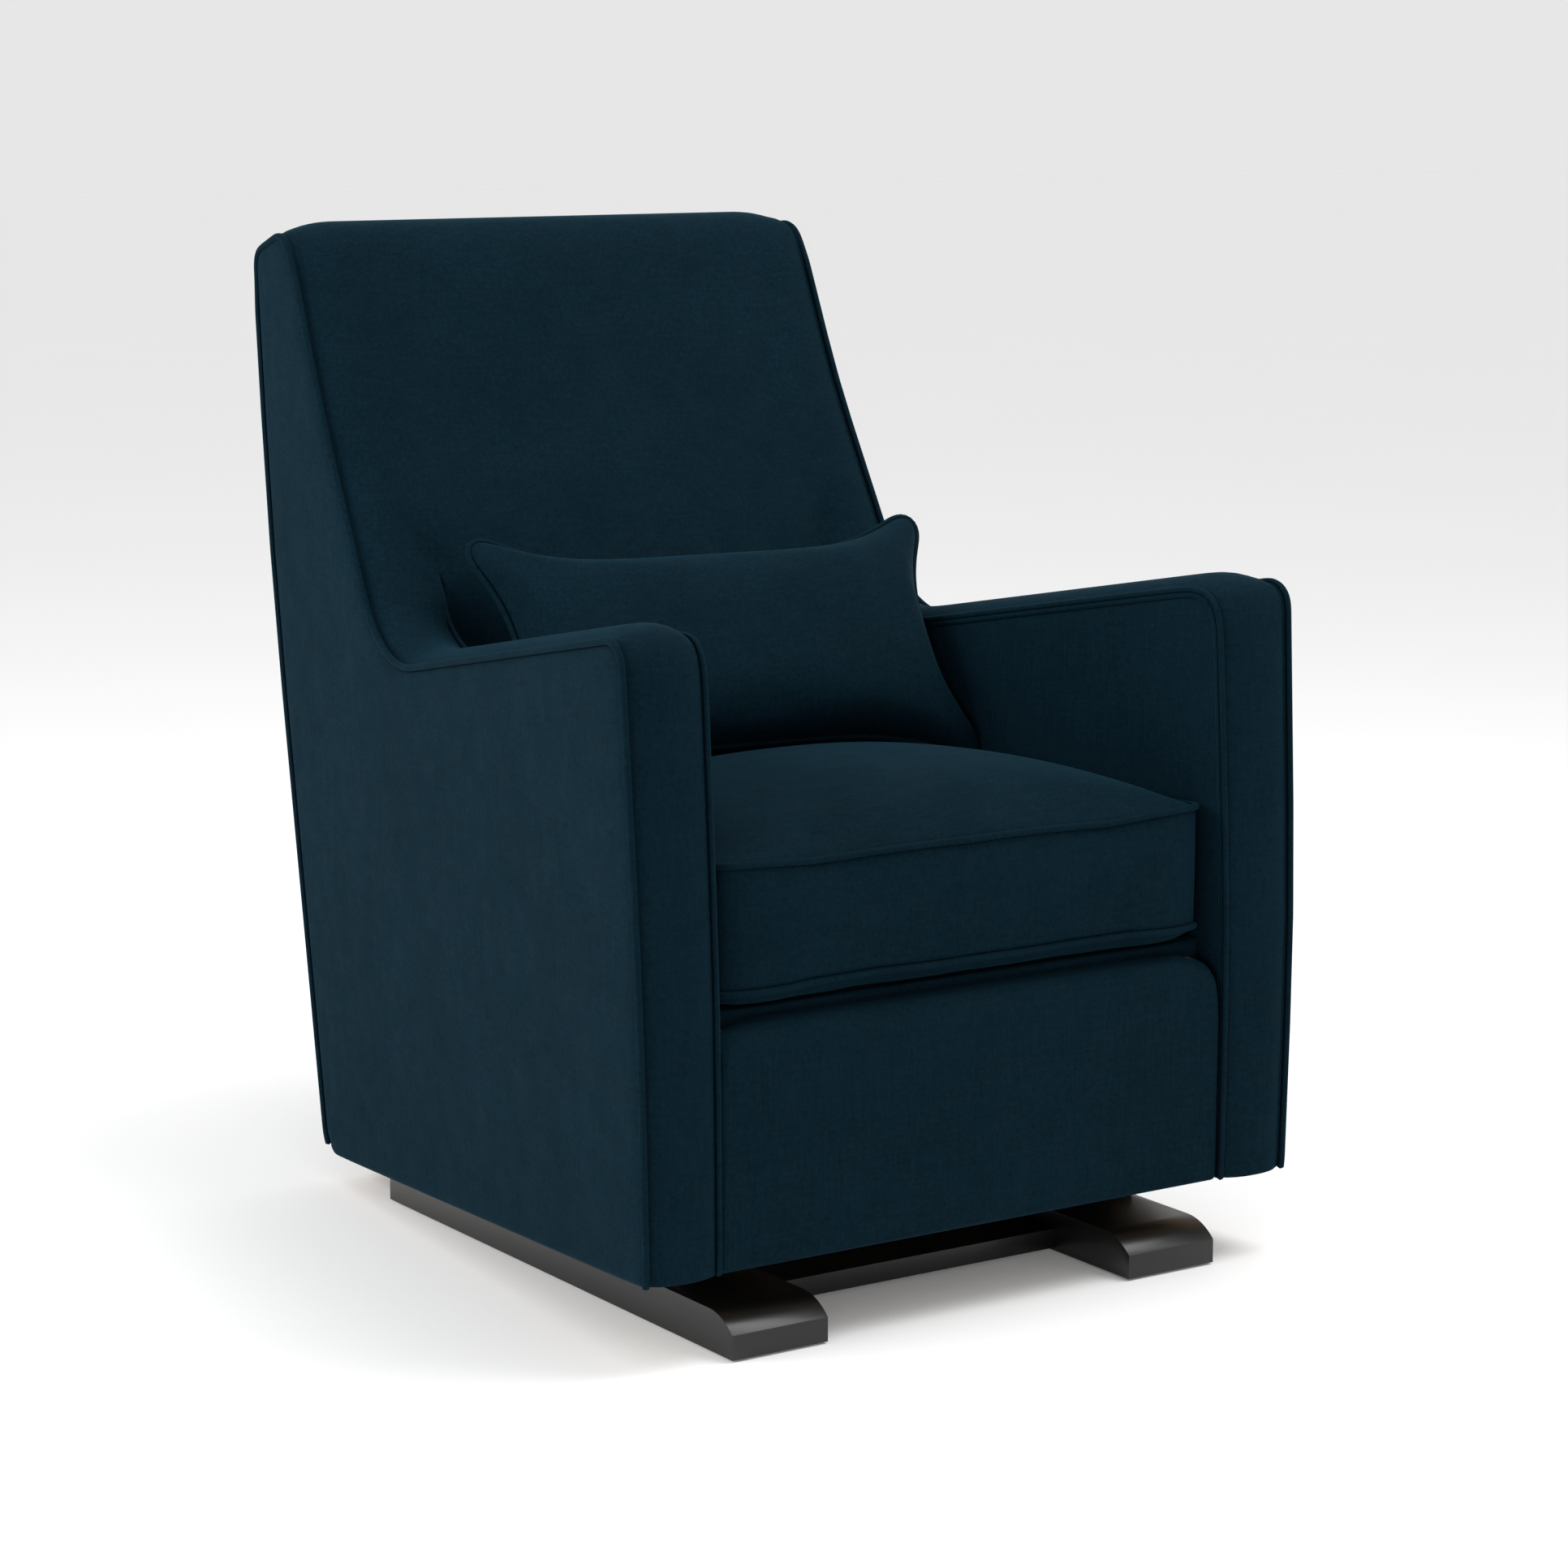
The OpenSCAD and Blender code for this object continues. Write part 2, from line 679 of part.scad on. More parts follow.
apron_corner_r = 30;
board_gap = 4;
apron_half = side_x(body_setback, apron_top_h) - arm_w;
module apron_front_shape(top) {
    difference() {
        translate([-big / 2, 0]) square([big, top]);
        for (s = [-1, 1]) difference() {
            translate([s > 0 ? apron_half - apron_corner_r : -apron_half, top - apron_corner_r])
                square(apron_corner_r);
            translate([s * (apron_half - apron_corner_r), top - apron_corner_r]) circle(r = apron_corner_r);
        }
        for (s = [-1, 1]) translate([s > 0 ? apron_half : -apron_half - big, top - apron_corner_r])
            square([big, apron_corner_r + 1]);
    }
}
module apron_slice(y0, y1, bottom, top) {
    intersection() {
        across(arm_w) strip([y0, bottom], [y1, top]);
        translate([0, y1, 0]) rotate([90, 0, 0]) linear_extrude(y1 - y0) apron_front_shape(top);
    }
}
module apron_board() {
    color(plywood) from_front()
        apron_slice(body_setback + apron_pad_t, front_rail_y, hem_front_h + board_gap,
            apron_top_h - board_gap);
}
module front_apron() {
    color(navy) from_front()
        apron_slice(body_setback, body_setback + apron_pad_t, hem_front_h - 1, apron_top_h);
}

// ---------- side frames and arms ----------
split_y = dip[0];
frame_inset = insets(arm_pad_t, arm_pad_t, back_pad_t, 2 * skin_t, skin_t, 0);

module side_panel(side) {
    color(navy) from_front() on_side(side) slab(0, skin_t)
        polygon(outline(insets(0, 0, 0, 0, 0, 0)));
}
module arm_frame(side) {
    color(plywood) from_front() on_side(side) slab(skin_t, wall_t) intersection() {
        polygon(outline(frame_inset));
        strip([-big, -big], [split_y, big]);
    }
}
module back_frame(side) {
    color(plywood) from_front() on_side(side) slab(skin_t, wall_t) intersection() {
        polygon(outline(frame_inset));
        strip([split_y, -big], [big, big]);
    }
}

module arm_pad(side) {
    color(navy) from_front() on_side(side) slab(skin_t, arm_w) intersection() {
        difference() {
            polygon(outline(insets(0, 0, 0, 0, 0, 0)));
            polygon(outline(insets(arm_pad_t, arm_pad_t, arm_pad_t, -welt_h, -welt_h, -welt_h)));
        }
        arm_side();
    }
}

// Depth band inside the arm between the outer plywood and the inner board
board_near = arm_w - inner_pad_t - inner_ply_t;
post_gap = 4;
post_inset = insets(arm_pad_t, arm_pad_t, back_pad_t, 0, 0, post_gap);
post_back_y = body_setback + arm_front_lean + arm_pad_t + post_d;
arm_rail_t = 30;
under_rail = insets(arm_pad_t, arm_pad_t + arm_rail_t, back_pad_t, 0, 0, post_gap);
arm_dir = unit(dip - corners[2]);
nose_dir = unit(corners[2] - corners[1]);
rail_nose_gap = 2;
nose_line = corners[2] + right_of(nose_dir) * (arm_pad_t + rail_nose_gap);
rail_upper = dip + right_of(arm_dir) * arm_pad_t;
rail_lower = dip + right_of(arm_dir) * (arm_pad_t + arm_rail_t);

// The stretch of the inside of the arm that lies ahead of the seat back's padding
module arm_core() {
    intersection() {
        polygon(outline(post_inset));
        polygon([[-big, seat_frame_h], [-big, big], [back_y(big), big],
            [back_y(seat_frame_h), seat_frame_h]]);
    }
}
module arm_posts() {
    color(pine) from_front() for (side = sides) on_side(side) slab(wall_t, board_near) intersection() {
        polygon(outline(under_rail));
        strip([0, 0], [post_back_y, big]);
    }
}
module arm_rails() {
    color(pine) from_front() for (side = sides) on_side(side) slab(wall_t, board_near) polygon([
        meet(nose_line, nose_dir, rail_upper, arm_dir),
        meet(dip, back_dir, rail_upper, arm_dir),
        meet(dip, back_dir, rail_lower, arm_dir),
        meet(nose_line, nose_dir, rail_lower, arm_dir)
    ]);
}
module inner_arm_boards() {
    color(plywood) from_front() for (side = sides) on_side(side)
        slab(board_near, board_near + inner_ply_t) arm_core();
}
module inner_arm(side) {
    color(navy_dark) from_front() on_side(side) slab(board_near + inner_ply_t, arm_w) arm_core();
}

// ---------- welts ----------
module side_welts() {
    color(navy_dark) from_front() for (side = sides) on_side(side) slab(skin_t - welt_w, skin_t)
        difference() {
            polygon(outline(insets(-welt_h, -welt_h, -welt_h, -welt_h, -welt_h, 0)));
            polygon(outline(insets(0, 0, 0, 0, 0, -welt_h)));
        }
}
module arm_welts() {
    color(navy_dark) from_front() for (side = sides) on_side(side) slab(arm_w - welt_w, arm_w)
        intersection() {
            difference() {
                polygon(outline(insets(-welt_h, -welt_h, -welt_h, 0, 0, 0)));
                polygon(outline(insets(0, 0, 0, -welt_h, -welt_h, -welt_h)));
            }
            arm_side();
        }
}

// ---------- back ----------
module inside_back() {
    color(navy) from_front() {
        across(skin_t) intersection() {
            difference() {
                polygon(outline(insets(0, 0, 0, -back_crown, 0, 0)));
                polygon(outline(insets(0, 0, back_pad_t, 2 * skin_t, -welt_h, 0)));
            }
            back_side();
        }
        across(arm_w) polygon([
            [back_y(deck_back_h + deck_t), deck_back_h + deck_t],
            cut_point + back_dir,
            cut_point + back_dir + back_in * back_pad_t,
            [back_y(deck_back_h + deck_t) + back_pad_t / back_in[0], deck_back_h + deck_t]
        ]);
    }
}
module outside_back() {
    color(navy) from_front() across(skin_t) difference() {
        polygon(outline(insets(0, 0, 0, 2 * skin_t, 0, 0)));
        polygon(outline(insets(-welt_h, -welt_h, -welt_h, -welt_h, skin_t, -welt_h)));
    }
}

// A bar across the back, seen from the side: a length along the back edge at a depth behind it
module back_bar(at, length, near, far) {
    p = dip + back_dir * at;
    polygon([p + back_in * near, p + back_dir * length + back_in * near,
        p + back_dir * length + back_in * far, p + back_in * far]);
}
back_length = norm(top_front - dip);
strap_t = 2;
strap_w = 50;
strap_count = 4;
top_rail_w = 60;
rail_gap = 4;
top_rail_h = top_z - top_drop - 2 * (skin_t + rail_gap);
lower_rail_drop = 40;
hem_rail_h = hem_rear_h + 16;
hem_rail_y = rear_y - rear_hem_tuck - rail_gap;
first_strap = 0.12;
strap_step = 0.19;
strap_near = back_pad_t + back_sweep / 2;

module top_back_rail() {
    color(pine) from_front() across(wall_t)
        strip([rear_y - skin_t - rail_gap - rail_t, top_rail_h - top_rail_w],
            [rear_y - skin_t - rail_gap, top_rail_h]);
}
module lower_back_rail() {
    near = strap_near + strap_t;
    color(pine) from_front() across(wall_t) back_bar(-lower_rail_drop, top_rail_w, near, near + rail_t);
}
module rear_hem_rail() {
    color(pine) from_front() across(wall_t)
        strip([hem_rail_y - rail_t, hem_rail_h], [hem_rail_y, hem_rail_h + top_rail_w]);
}
module back_webbing() {
    color(cambric) from_front() across(wall_t)
        for (i = [0:strap_count - 1])
            back_bar(back_length * (first_strap + strap_step * i), strap_w, strap_near, strap_near + strap_t);
}

// ---------- seat cushion ----------
cushion_low = deck_h + 1;
cushion_front = body_setback;
crown_steps = 10;

function hump(half, rise, base) = [for (i = [0:crown_steps])
    let (t = 2 * i / crown_steps - 1)
    [half * t, base + rise * (1 - t * t)]];

// The cushion's outer form, or the form a cover's thickness inside it
module cushion_body(inner) {
    fall = tan(seat_pitch);
    low = cushion_low + inner;
    high = cushion_low + cushion_t - inner;
    y0 = cushion_front + inner;
    y_low = back_y(low - fall * deck_back_y) - cushion_gap - inner;
    y_high = back_y(high - fall * deck_back_y) - cushion_gap - inner;
    crowned = high + cushion_crown;
    half = side_x(0, high) - arm_w - cushion_gap;
    intersection() {
        across(arm_w + cushion_gap + inner) polygon([
            [y0, low - fall * y0],
            [y0, crowned - fall * y0],
            [y_high, crowned - fall * y_high],
            [y_high, high - fall * y_high],
            [y_low, low - fall * y_low]
        ]);
        translate([0, 0, cushion_low]) rotate([-seat_pitch, 0, 0]) translate([0, big / 2, 0])
            rotate([90, 0, 0]) linear_extrude(big)
                polygon(concat([[half, -big / 10], [-half, -big / 10]],
                    hump(half, cushion_crown, high - cushion_low)));
    }
}
module seat_cushion_cover() {
    color(navy) from_front() difference() {
        cushion_body(0);
        cushion_body(cover_t);
    }
}
module seat_cushion_foam() {
    color(foam) from_front() cushion_body(cover_t);
}

// ---------- lumbar pillow ----------
pillow_rest = cushion_low + cushion_t + cushion_crown - tan(seat_pitch) * deck_back_y + pillow_gap;
pillow_z = pillow_rest + pillow_l / 2 * cos(pillow_lean);
pillow_y = back_y(pillow_z) - pillow_standoff;
pillow_w = 2 * (side_x(pillow_y, pillow_z) - arm_w - pillow_shift - pillow_side_gap);
pillow_edge_t = 16;

module pillow_body(inner) {
    translate([pillow_shift, pillow_y, pillow_z]) rotate([0, 0, -pillow_turn]) rotate([-pillow_lean, 0, 0])
        intersection() {
            rotate([90, 0, 90]) linear_extrude(pillow_w - 2 * inner, center = true)
                polygon(lens(pillow_l / 2 - inner, pillow_t / 2 - inner));
            linear_extrude(big, center = true)
                polygon([for (p = lens(pillow_w / 2 - inner, pillow_t / 2 - inner)) [p[1], p[0]]]);
        }
}
// A closed lens, half_l tall each way and half_t thick each way, with blunt ends
function lens(half_l, half_t) = concat(
    [for (p = hump(half_l, half_t - pillow_edge_t / 2, pillow_edge_t / 2)) [p[1], p[0]]],
    [for (p = hump(half_l, half_t - pillow_edge_t / 2, pillow_edge_t / 2)) [-p[1], -p[0]]]);

module lumbar_pillow_cover() {
    color(navy) from_front() difference() {
        pillow_body(0);
        pillow_body(cover_t);
    }
}
module lumbar_pillow_fill() {
    color(foam) from_front() pillow_body(cover_t);
}

skid(left);  // left_skid
skid(right);  // right_skid
front_cross_board();
rear_cross_board();
board_dowels();
floor_pads();
front_pivot_brackets();
rear_pivot_brackets();
bracket_screws();
glide_stops();
upper_pivot_bolts();
upper_pivot_nuts();
pivot_spacers();
swing_link(left, front_pivot_y);  // left_front_link
swing_link(right, front_pivot_y);  // right_front_link
front_link_bushes();
swing_link(left, rear_pivot_y);  // left_rear_link
swing_link(right, rear_pivot_y);  // right_rear_link
rear_link_bushes();
carriage_plate(left);  // left_carriage_plate
carriage_plate(right);  // right_carriage_plate
carriage_tubes();
lower_pivot_bolts();
lower_pivot_nuts();
carriage_bolts();
mount_rails();
front_seat_rail();
rear_seat_rail();
seat_springs();
spring_clips();
corner_blocks();
seat_deck();
dust_cover();
apron_board();
front_apron();
side_panel(left);  // left_side_panel
side_panel(right);  // right_side_panel
arm_frame(left);  // left_arm_frame
arm_frame(right);  // right_arm_frame
back_frame(left);  // left_back_frame
back_frame(right);  // right_back_frame
arm_posts();
arm_rails();
inner_arm_boards();
inner_arm(left);  // left_inner_arm
inner_arm(right);  // right_inner_arm
arm_pad(left);  // left_arm_pad
arm_pad(right);  // right_arm_pad
side_welts();
arm_welts();
top_back_rail();
lower_back_rail();
rear_hem_rail();
back_webbing();
inside_back();
outside_back();
seat_cushion_cover();
seat_cushion_foam();
lumbar_pillow_cover();
lumbar_pillow_fill();
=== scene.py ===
# The looks of a glider nursery chair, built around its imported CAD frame.
# Metres, +Z up, and the seat faces -Y. "Right" is +X.

import json
import math

import bmesh
import bpy
import numpy as np
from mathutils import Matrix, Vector
from mathutils.geometry import delaunay_2d_cdt


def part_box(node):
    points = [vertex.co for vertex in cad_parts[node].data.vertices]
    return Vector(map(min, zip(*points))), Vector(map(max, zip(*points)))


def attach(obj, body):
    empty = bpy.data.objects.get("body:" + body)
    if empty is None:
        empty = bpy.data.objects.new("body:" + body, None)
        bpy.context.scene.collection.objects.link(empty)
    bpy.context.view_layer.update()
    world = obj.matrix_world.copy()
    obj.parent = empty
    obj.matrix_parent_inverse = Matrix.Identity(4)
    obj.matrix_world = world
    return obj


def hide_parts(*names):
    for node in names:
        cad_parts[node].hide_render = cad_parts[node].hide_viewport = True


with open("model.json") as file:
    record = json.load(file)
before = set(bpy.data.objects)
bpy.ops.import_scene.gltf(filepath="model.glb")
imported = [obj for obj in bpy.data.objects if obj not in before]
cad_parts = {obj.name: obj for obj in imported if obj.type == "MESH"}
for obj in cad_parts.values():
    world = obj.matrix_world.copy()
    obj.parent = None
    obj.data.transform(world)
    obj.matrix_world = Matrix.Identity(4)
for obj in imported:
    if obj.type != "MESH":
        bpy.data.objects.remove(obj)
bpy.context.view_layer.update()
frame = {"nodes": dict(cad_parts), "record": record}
MM = 0.001
CHAIR = "chair"


# ---------------------------------------------------------------- meshes
def mesh_object(name, verts, faces):
    """A smooth-shaded mesh object from plain vertices and faces."""
    mesh = bpy.data.meshes.new(name)
    mesh.from_pydata([tuple(map(float, v)) for v in verts], [], [tuple(map(int, f)) for f in faces])
    mesh.validate()
    mesh.polygons.foreach_set("use_smooth", [True] * len(mesh.polygons))
    mesh.update()
    obj = bpy.data.objects.new(name, mesh)
    bpy.context.scene.collection.objects.link(obj)
    return obj


class Patchwork:
    """A mesh put together from named vertices and the quads between them."""

    def __init__(self):
        self.index, self.verts, self.faces = {}, [], []

    def put(self, key, point):
        self.index[key] = len(self.verts)
        self.verts.append(point)

    def quad(self, *keys):
        self.faces.append([self.index[key] for key in keys])


def grid_faces(rows, cols, close_rows=False, close_cols=False):
    """Quads over a grid of rows x cols vertices numbered row by row."""
    faces = []
    for i in range(rows if close_rows else rows - 1):
        for j in range(cols if close_cols else cols - 1):
            a, b = i * cols + j, i * cols + (j + 1) % cols
            c, d = ((i + 1) % rows) * cols + (j + 1) % cols, ((i + 1) % rows) * cols + j
            faces.append((a, b, c, d))
    return faces


def coords(obj):
    """The object's vertices as an array."""
    co = np.zeros(len(obj.data.vertices) * 3)
    obj.data.vertices.foreach_get("co", co)
    return co.reshape(-1, 3)


def set_coords(obj, co):
    """Moves the object's vertices to the places in an array."""
    obj.data.vertices.foreach_set("co", np.asarray(co, float).reshape(-1))
    obj.data.update()


def face_outward(obj):
    """Makes every face point out of the mesh."""
    bm = bmesh.new()
    bm.from_mesh(obj.data)
    bmesh.ops.recalc_face_normals(bm, faces=bm.faces)
    bm.to_mesh(obj.data)
    bm.free()


def apply_modifiers(obj):
    """Bakes the object's modifiers into its mesh."""
    graph = bpy.context.evaluated_depsgraph_get()
    baked = bpy.data.meshes.new_from_object(obj.evaluated_get(graph))
    obj.modifiers.clear()
    obj.data = baked


def thicken(obj, thickness):
    """Gives a sheet of upholstery its cloth and wadding thickness, behind the face that shows."""
    mod = obj.modifiers.new("thickness", "SOLIDIFY")
    mod.thickness = thickness
    mod.offset = -1
    mod.use_even_offset = False
    apply_modifiers(obj)


def smoothstep(x):
    """An even rise from 0 at 0 to 1 at 1, flat at both ends."""
    x = np.clip(x, 0.0, 1.0)
    return x * x * (3 - 2 * x)


# ---------------------------------------------------------------- lines
def resample(points, step):
    """The open polyline with evenly spaced points about a step apart."""
    points = np.asarray(points, float)
    run = np.r_[0, np.cumsum(np.linalg.norm(np.diff(points, axis=0), axis=1))]
    count = max(2, int(round(run[-1] / step)) + 1)
    at = np.linspace(0, run[-1], count)
    return np.stack([np.interp(at, run, points[:, k]) for k in range(points.shape[1])], 1)


def relax(points, rounds):
    """The open polyline smoothed, with its ends kept."""
    points = np.array(points, float)
    for _ in range(rounds):
        points[1:-1] = (points[:-2] + 2 * points[1:-1] + points[2:]) / 4
    return points


def left_normals(points):
    """Unit normals to the left of a flat polyline's direction."""
    t = np.gradient(points, axis=0)
    t /= np.linalg.norm(t, axis=1)[:, None]
    return np.stack([-t[:, 1], t[:, 0]], 1)


def distance_to(points, line):
    """Distance of each flat point from an open polyline."""
    a, b = line[:-1], line[1:]
    ab = b - a
    length = np.maximum((ab ** 2).sum(1), 1e-18)
    best = np.full(len(points), 1e9)
    for s in range(0, len(points), 2000):
        p = points[s:s + 2000, None, :] - a[None]
        t = np.clip((p * ab[None]).sum(2) / length, 0, 1)
        best[s:s + 2000] = np.sqrt(((p - t[..., None] * ab[None]) ** 2).sum(2)).min(1)
    return best


def rim_of(node, direction):
    """The closed edge of a CAD node's flat face that looks along a direction."""
    mesh = frame["nodes"][node].data
    direction = Vector(direction)
    count, places = {}, {}
    for poly in mesh.polygons:
        if poly.normal.dot(direction) < 0.95:
            continue
        keys = []
        for v in poly.vertices:
            co = mesh.vertices[v].co
            key = tuple(round(c, 5) for c in co)
            places[key] = tuple(co)
            keys.append(key)
        for a, b in zip(keys, keys[1:] + keys[:1]):
            count[frozenset((a, b))] = count.get(frozenset((a, b)), 0) + 1
    links = {}
    for edge, n in count.items():
        if n == 1 and len(edge) == 2:
            a, b = tuple(edge)
            links.setdefault(a, []).append(b)
            links.setdefault(b, []).append(a)
    start = min(links)
    loop, last, here = [start], None, start
    while True:
        step = [k for k in links[here] if k != last]
        last, here = here, step[0]
        if here == start:
            break
        loop.append(here)
    return np.array([places[k] for k in loop])


def tube(name, path, radius, closed=False, sides=10):
    """A round cord along a path of 3D points. Open ends are rounded off."""
    path = np.asarray(path, float)
    n = len(path)
    if closed:
        tangent = np.roll(path, -1, 0) - np.roll(path, 1, 0)
    else:
        tangent = np.gradient(path, axis=0)
    tangent /= np.linalg.norm(tangent, axis=1)[:, None]
    side = np.cross(tangent[0], (0.31, 0.17, 0.93))
    side /= np.linalg.norm(side)
    frames = []
    for i in range(n):
        side = side - tangent[i] * side.dot(tangent[i])
        side /= np.linalg.norm(side)
        frames.append((side.copy(), np.cross(tangent[i], side)))
    twist = 0.0
    if closed:
        first, last = frames[0][0], frames[-1][0]
        last = last - tangent[0] * last.dot(tangent[0])
        last /= np.linalg.norm(last)
        twist = math.atan2(np.cross(last, first).dot(tangent[0]), last.dot(first))
    verts = []
    for i in range(n):
        extra = twist * i / n
        for k in range(sides):
            a = 2 * math.pi * k / sides + extra
            around = math.cos(a) * frames[i][0] + math.sin(a) * frames[i][1]
            verts.append(path[i] + radius * around)
    faces = grid_faces(n, sides, close_rows=closed, close_cols=True)
    if not closed:
        for end, sign in ((0, -1), (n - 1, 1)):
            verts.append(path[end] + sign * tangent[end] * radius * 0.6)
            tip = len(verts) - 1
            ring = [end * sides + k for k in range(sides)]
            for a, b in zip(ring, ring[1:] + ring[:1]):
                faces.append((a, b, tip))
    obj = mesh_object(name, verts, faces)
    face_outward(obj)
    return obj


def inside_of(points, rim):
    """Which flat points lie inside a closed rim."""
    inside = np.zeros(len(points), bool)
    for p, q in zip(rim, np.roll(rim, -1, 0)):
        crosses = (p[1] > points[:, 1]) != (q[1] > points[:, 1])
        if crosses.any():
            at = p[0] + (points[:, 1] - p[1]) / (q[1] - p[1] + 1e-15) * (q[0] - p[0])
            inside ^= crosses & (points[:, 0] < at)
    return inside


def seam_rings(rim, depths):
    """Rings of points inside a closed rim, close together so that a seam can roll over."""
    along = np.roll(rim, -1, 0) - np.roll(rim, 1, 0)
    along /= np.linalg.norm(along, axis=1)[:, None]
    normal = np.stack([-along[:, 1], along[:, 0]], 1)
    if not inside_of(rim[:1] + normal[:1] * 1 * MM, rim)[0]:
        normal = -normal
    closed = np.vstack([rim, rim[:1]])
    rings = []
    for depth in depths:
        ring = rim + normal * depth
        ring = ring[inside_of(ring, rim)]
        rings.append(ring[distance_to(ring, closed) > depth * 0.97])
    return np.vstack(rings)


def panel(rim, spacing):
    """(flat points, triangles) that fill a closed flat rim with an even mesh, its rim first."""
    rim = np.asarray(rim, float)
    low, high = rim.min(0), rim.max(0)
    rings = (2 * MM, 4.5 * MM, 8 * MM)
    ys = np.arange(low[0] + spacing / 2, high[0], spacing)
    zs = np.arange(low[1] + spacing / 2, high[1], spacing * 0.87)
    inner = np.array([(y + (k % 2) * spacing / 2, z) for k, z in enumerate(zs) for y in ys])
    closed = np.vstack([rim, rim[:1]])
    inner = inner[inside_of(inner, rim)]
    inner = inner[distance_to(inner, closed) > rings[-1] + spacing * 0.45]
    points = np.vstack([rim, seam_rings(rim, rings), inner])
    edges = [(i, (i + 1) % len(rim)) for i in range(len(rim))]
    out = delaunay_2d_cdt([Vector(p) for p in points], edges, [list(range(len(rim)))], 1, 1e-7)
    return np.array([tuple(v) for v in out[0]]), [tuple(f) for f in out[2]]


# ---------------------------------------------------------------- the side outline, from the frame
PATH_STEP = 4 * MM
ARM_DEPTH = 78 * MM          # from the outer face to the inner face of an arm
INNER_UPRIGHT = 0.7          # share of the outer face's lean that the inner face doesn't follow
side_rim = rim_of("right_side_panel", (1, 0, 0))
fit = np.linalg.lstsq(np.c_[np.ones(len(side_rim)), side_rim[:, 1:]], side_rim[:, 0], rcond=None)[0]
FIT_LENGTH = math.sqrt(1 + fit[1] ** 2 + fit[2] ** 2)


def side_x(flat, depth):
    """x of the right side at a depth below its outer face, at flat (y, z) points.

    The outer face flares with height, and the arm's inner face stands nearly upright.
    """
    flat = np.asarray(flat, float)
    outer = fit[0] + flat[..., 0] * fit[1] + flat[..., 1] * fit[2]
    rise = flat[..., 1] - side_rim[:, 2].min()
    width = ARM_DEPTH * FIT_LENGTH + INNER_UPRIGHT * np.maximum(rise, 0) * fit[2]
    return outer - depth / ARM_DEPTH * width


def ordered_outline():
    """The rim as flat points, from the hem's front corner up the arm, over the back and down."""
    flat = side_rim[:, 1:]
    start = int(np.argmin(flat[:, 0] + flat[:, 1]))
    flat = np.roll(flat, -start, 0)
    if flat[1, 1] < flat[-1, 1]:
        flat = np.roll(flat[::-1], 1, 0)
    rear = int(np.argmax(flat[:, 0] - flat[:, 1]))
    return flat[:rear + 1], flat[rear:]


visible_edge, hem_edge = ordered_outline()
edge_path = resample(visible_edge, PATH_STEP)
tight_path = relax(edge_path, 3)
soft_path = relax(edge_path, 46)
row_count = len(edge_path)
# direction of the outline at each row, in degrees: 90 is up, 0 is rearward
heading = np.degrees(np.arctan2(*np.gradient(tight_path, axis=0)[:, ::-1].T))


def first_row(test, start=0):
    """The first row, from start on, where the test holds."""
    return start + int(np.argmax(test[start:]))


NOSE = first_row(heading < 45)                       # the arm's front corner
DIP = first_row(heading > 0, NOSE + 20)              # the lowest point of the arm's top line
ARC_END = first_row(heading > 55, DIP)               # where the dip has turned up into the back
TOP_FRONT = first_row(heading < 30, ARC_END + 20)    # the back's top front corner
TOP_REAR = first_row(heading < -60, TOP_FRONT)       # the back's top rear corner
JOIN = ARC_END + int(34 * MM / PATH_STEP)            # arm and back are one cloth above this row
BACK_HALF = side_x(soft_path[JOIN], 0)

SEAM_DEPTH = 3 * MM          # the outer seam lies this far in from the outer face
WELT_R = 3.4 * MM
WELT_CREASE = 3 * MM         # width of the crease beside a welt, and its depth
CREASE_DIP = 2.4 * MM
CUSHION_WELT_R = 3.3 * MM
LINING_T = 5 * MM
PANEL_T = 3 * MM
INNER_PANEL_T = 4 * MM
APRON_T = 6 * MM
DECK_T = 6 * MM
DUST_T = 0.9 * MM


# ---------------------------------------------------------------- lining
# Arm bands, inside back and crown are one cloth.
BAND_COLS = 15
BACK_COLS = 56
SOFT_DEPTH = 22 * MM         # the corners are tight at the seam and soft past this depth
FRONT_CROWN = 8 * MM         # swell of the arm's front and of its top
ARM_CROWN = 14 * MM
BACK_EDGE_CROWN = 14 * MM    # swell of the back beside its seams, and how far in it is full
BACK_EDGE_REACH = 52 * MM
BACK_MID_CROWN = 5 * MM
TUCK = 42 * MM               # the back's cloth is pulled in where it meets the arms
TUCK_WIDTH = 52 * MM
TUCK_RUN = 95 * MM
LOW_STEP = 7 * MM
DIMPLE = 10 * MM             # the valley above the tuck
DIMPLE_WIDTH = 19 * MM
DIMPLE_RUN = 85 * MM
DIMPLE_FADE = 40 * MM
DIMPLE_SLANT = 0.45
LOW_DOWN = soft_path[JOIN] - soft_path[JOIN + 6]     # down along the back, behind the seat cushion
LOW_DOWN /= np.linalg.norm(LOW_DOWN)
LOW_STEPS = int((soft_path[JOIN][1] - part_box("seat_deck")[0].z) / -LOW_DOWN[1] / LOW_STEP)
TIGHT_NORMALS, SOFT_NORMALS = left_normals(tight_path), left_normals(soft_path)


def band_depths():
    """Depths of the arm band's columns, closer together beside the seams."""
    t = np.linspace(0, 1, BAND_COLS)
    t = 0.5 - 0.5 * np.cos(math.pi * t) * (0.55 + 0.45 * np.abs(np.cos(math.pi * t)))
    return SEAM_DEPTH + (ARM_DEPTH - SEAM_DEPTH) * (t - t[0]) / (t[-1] - t[0])


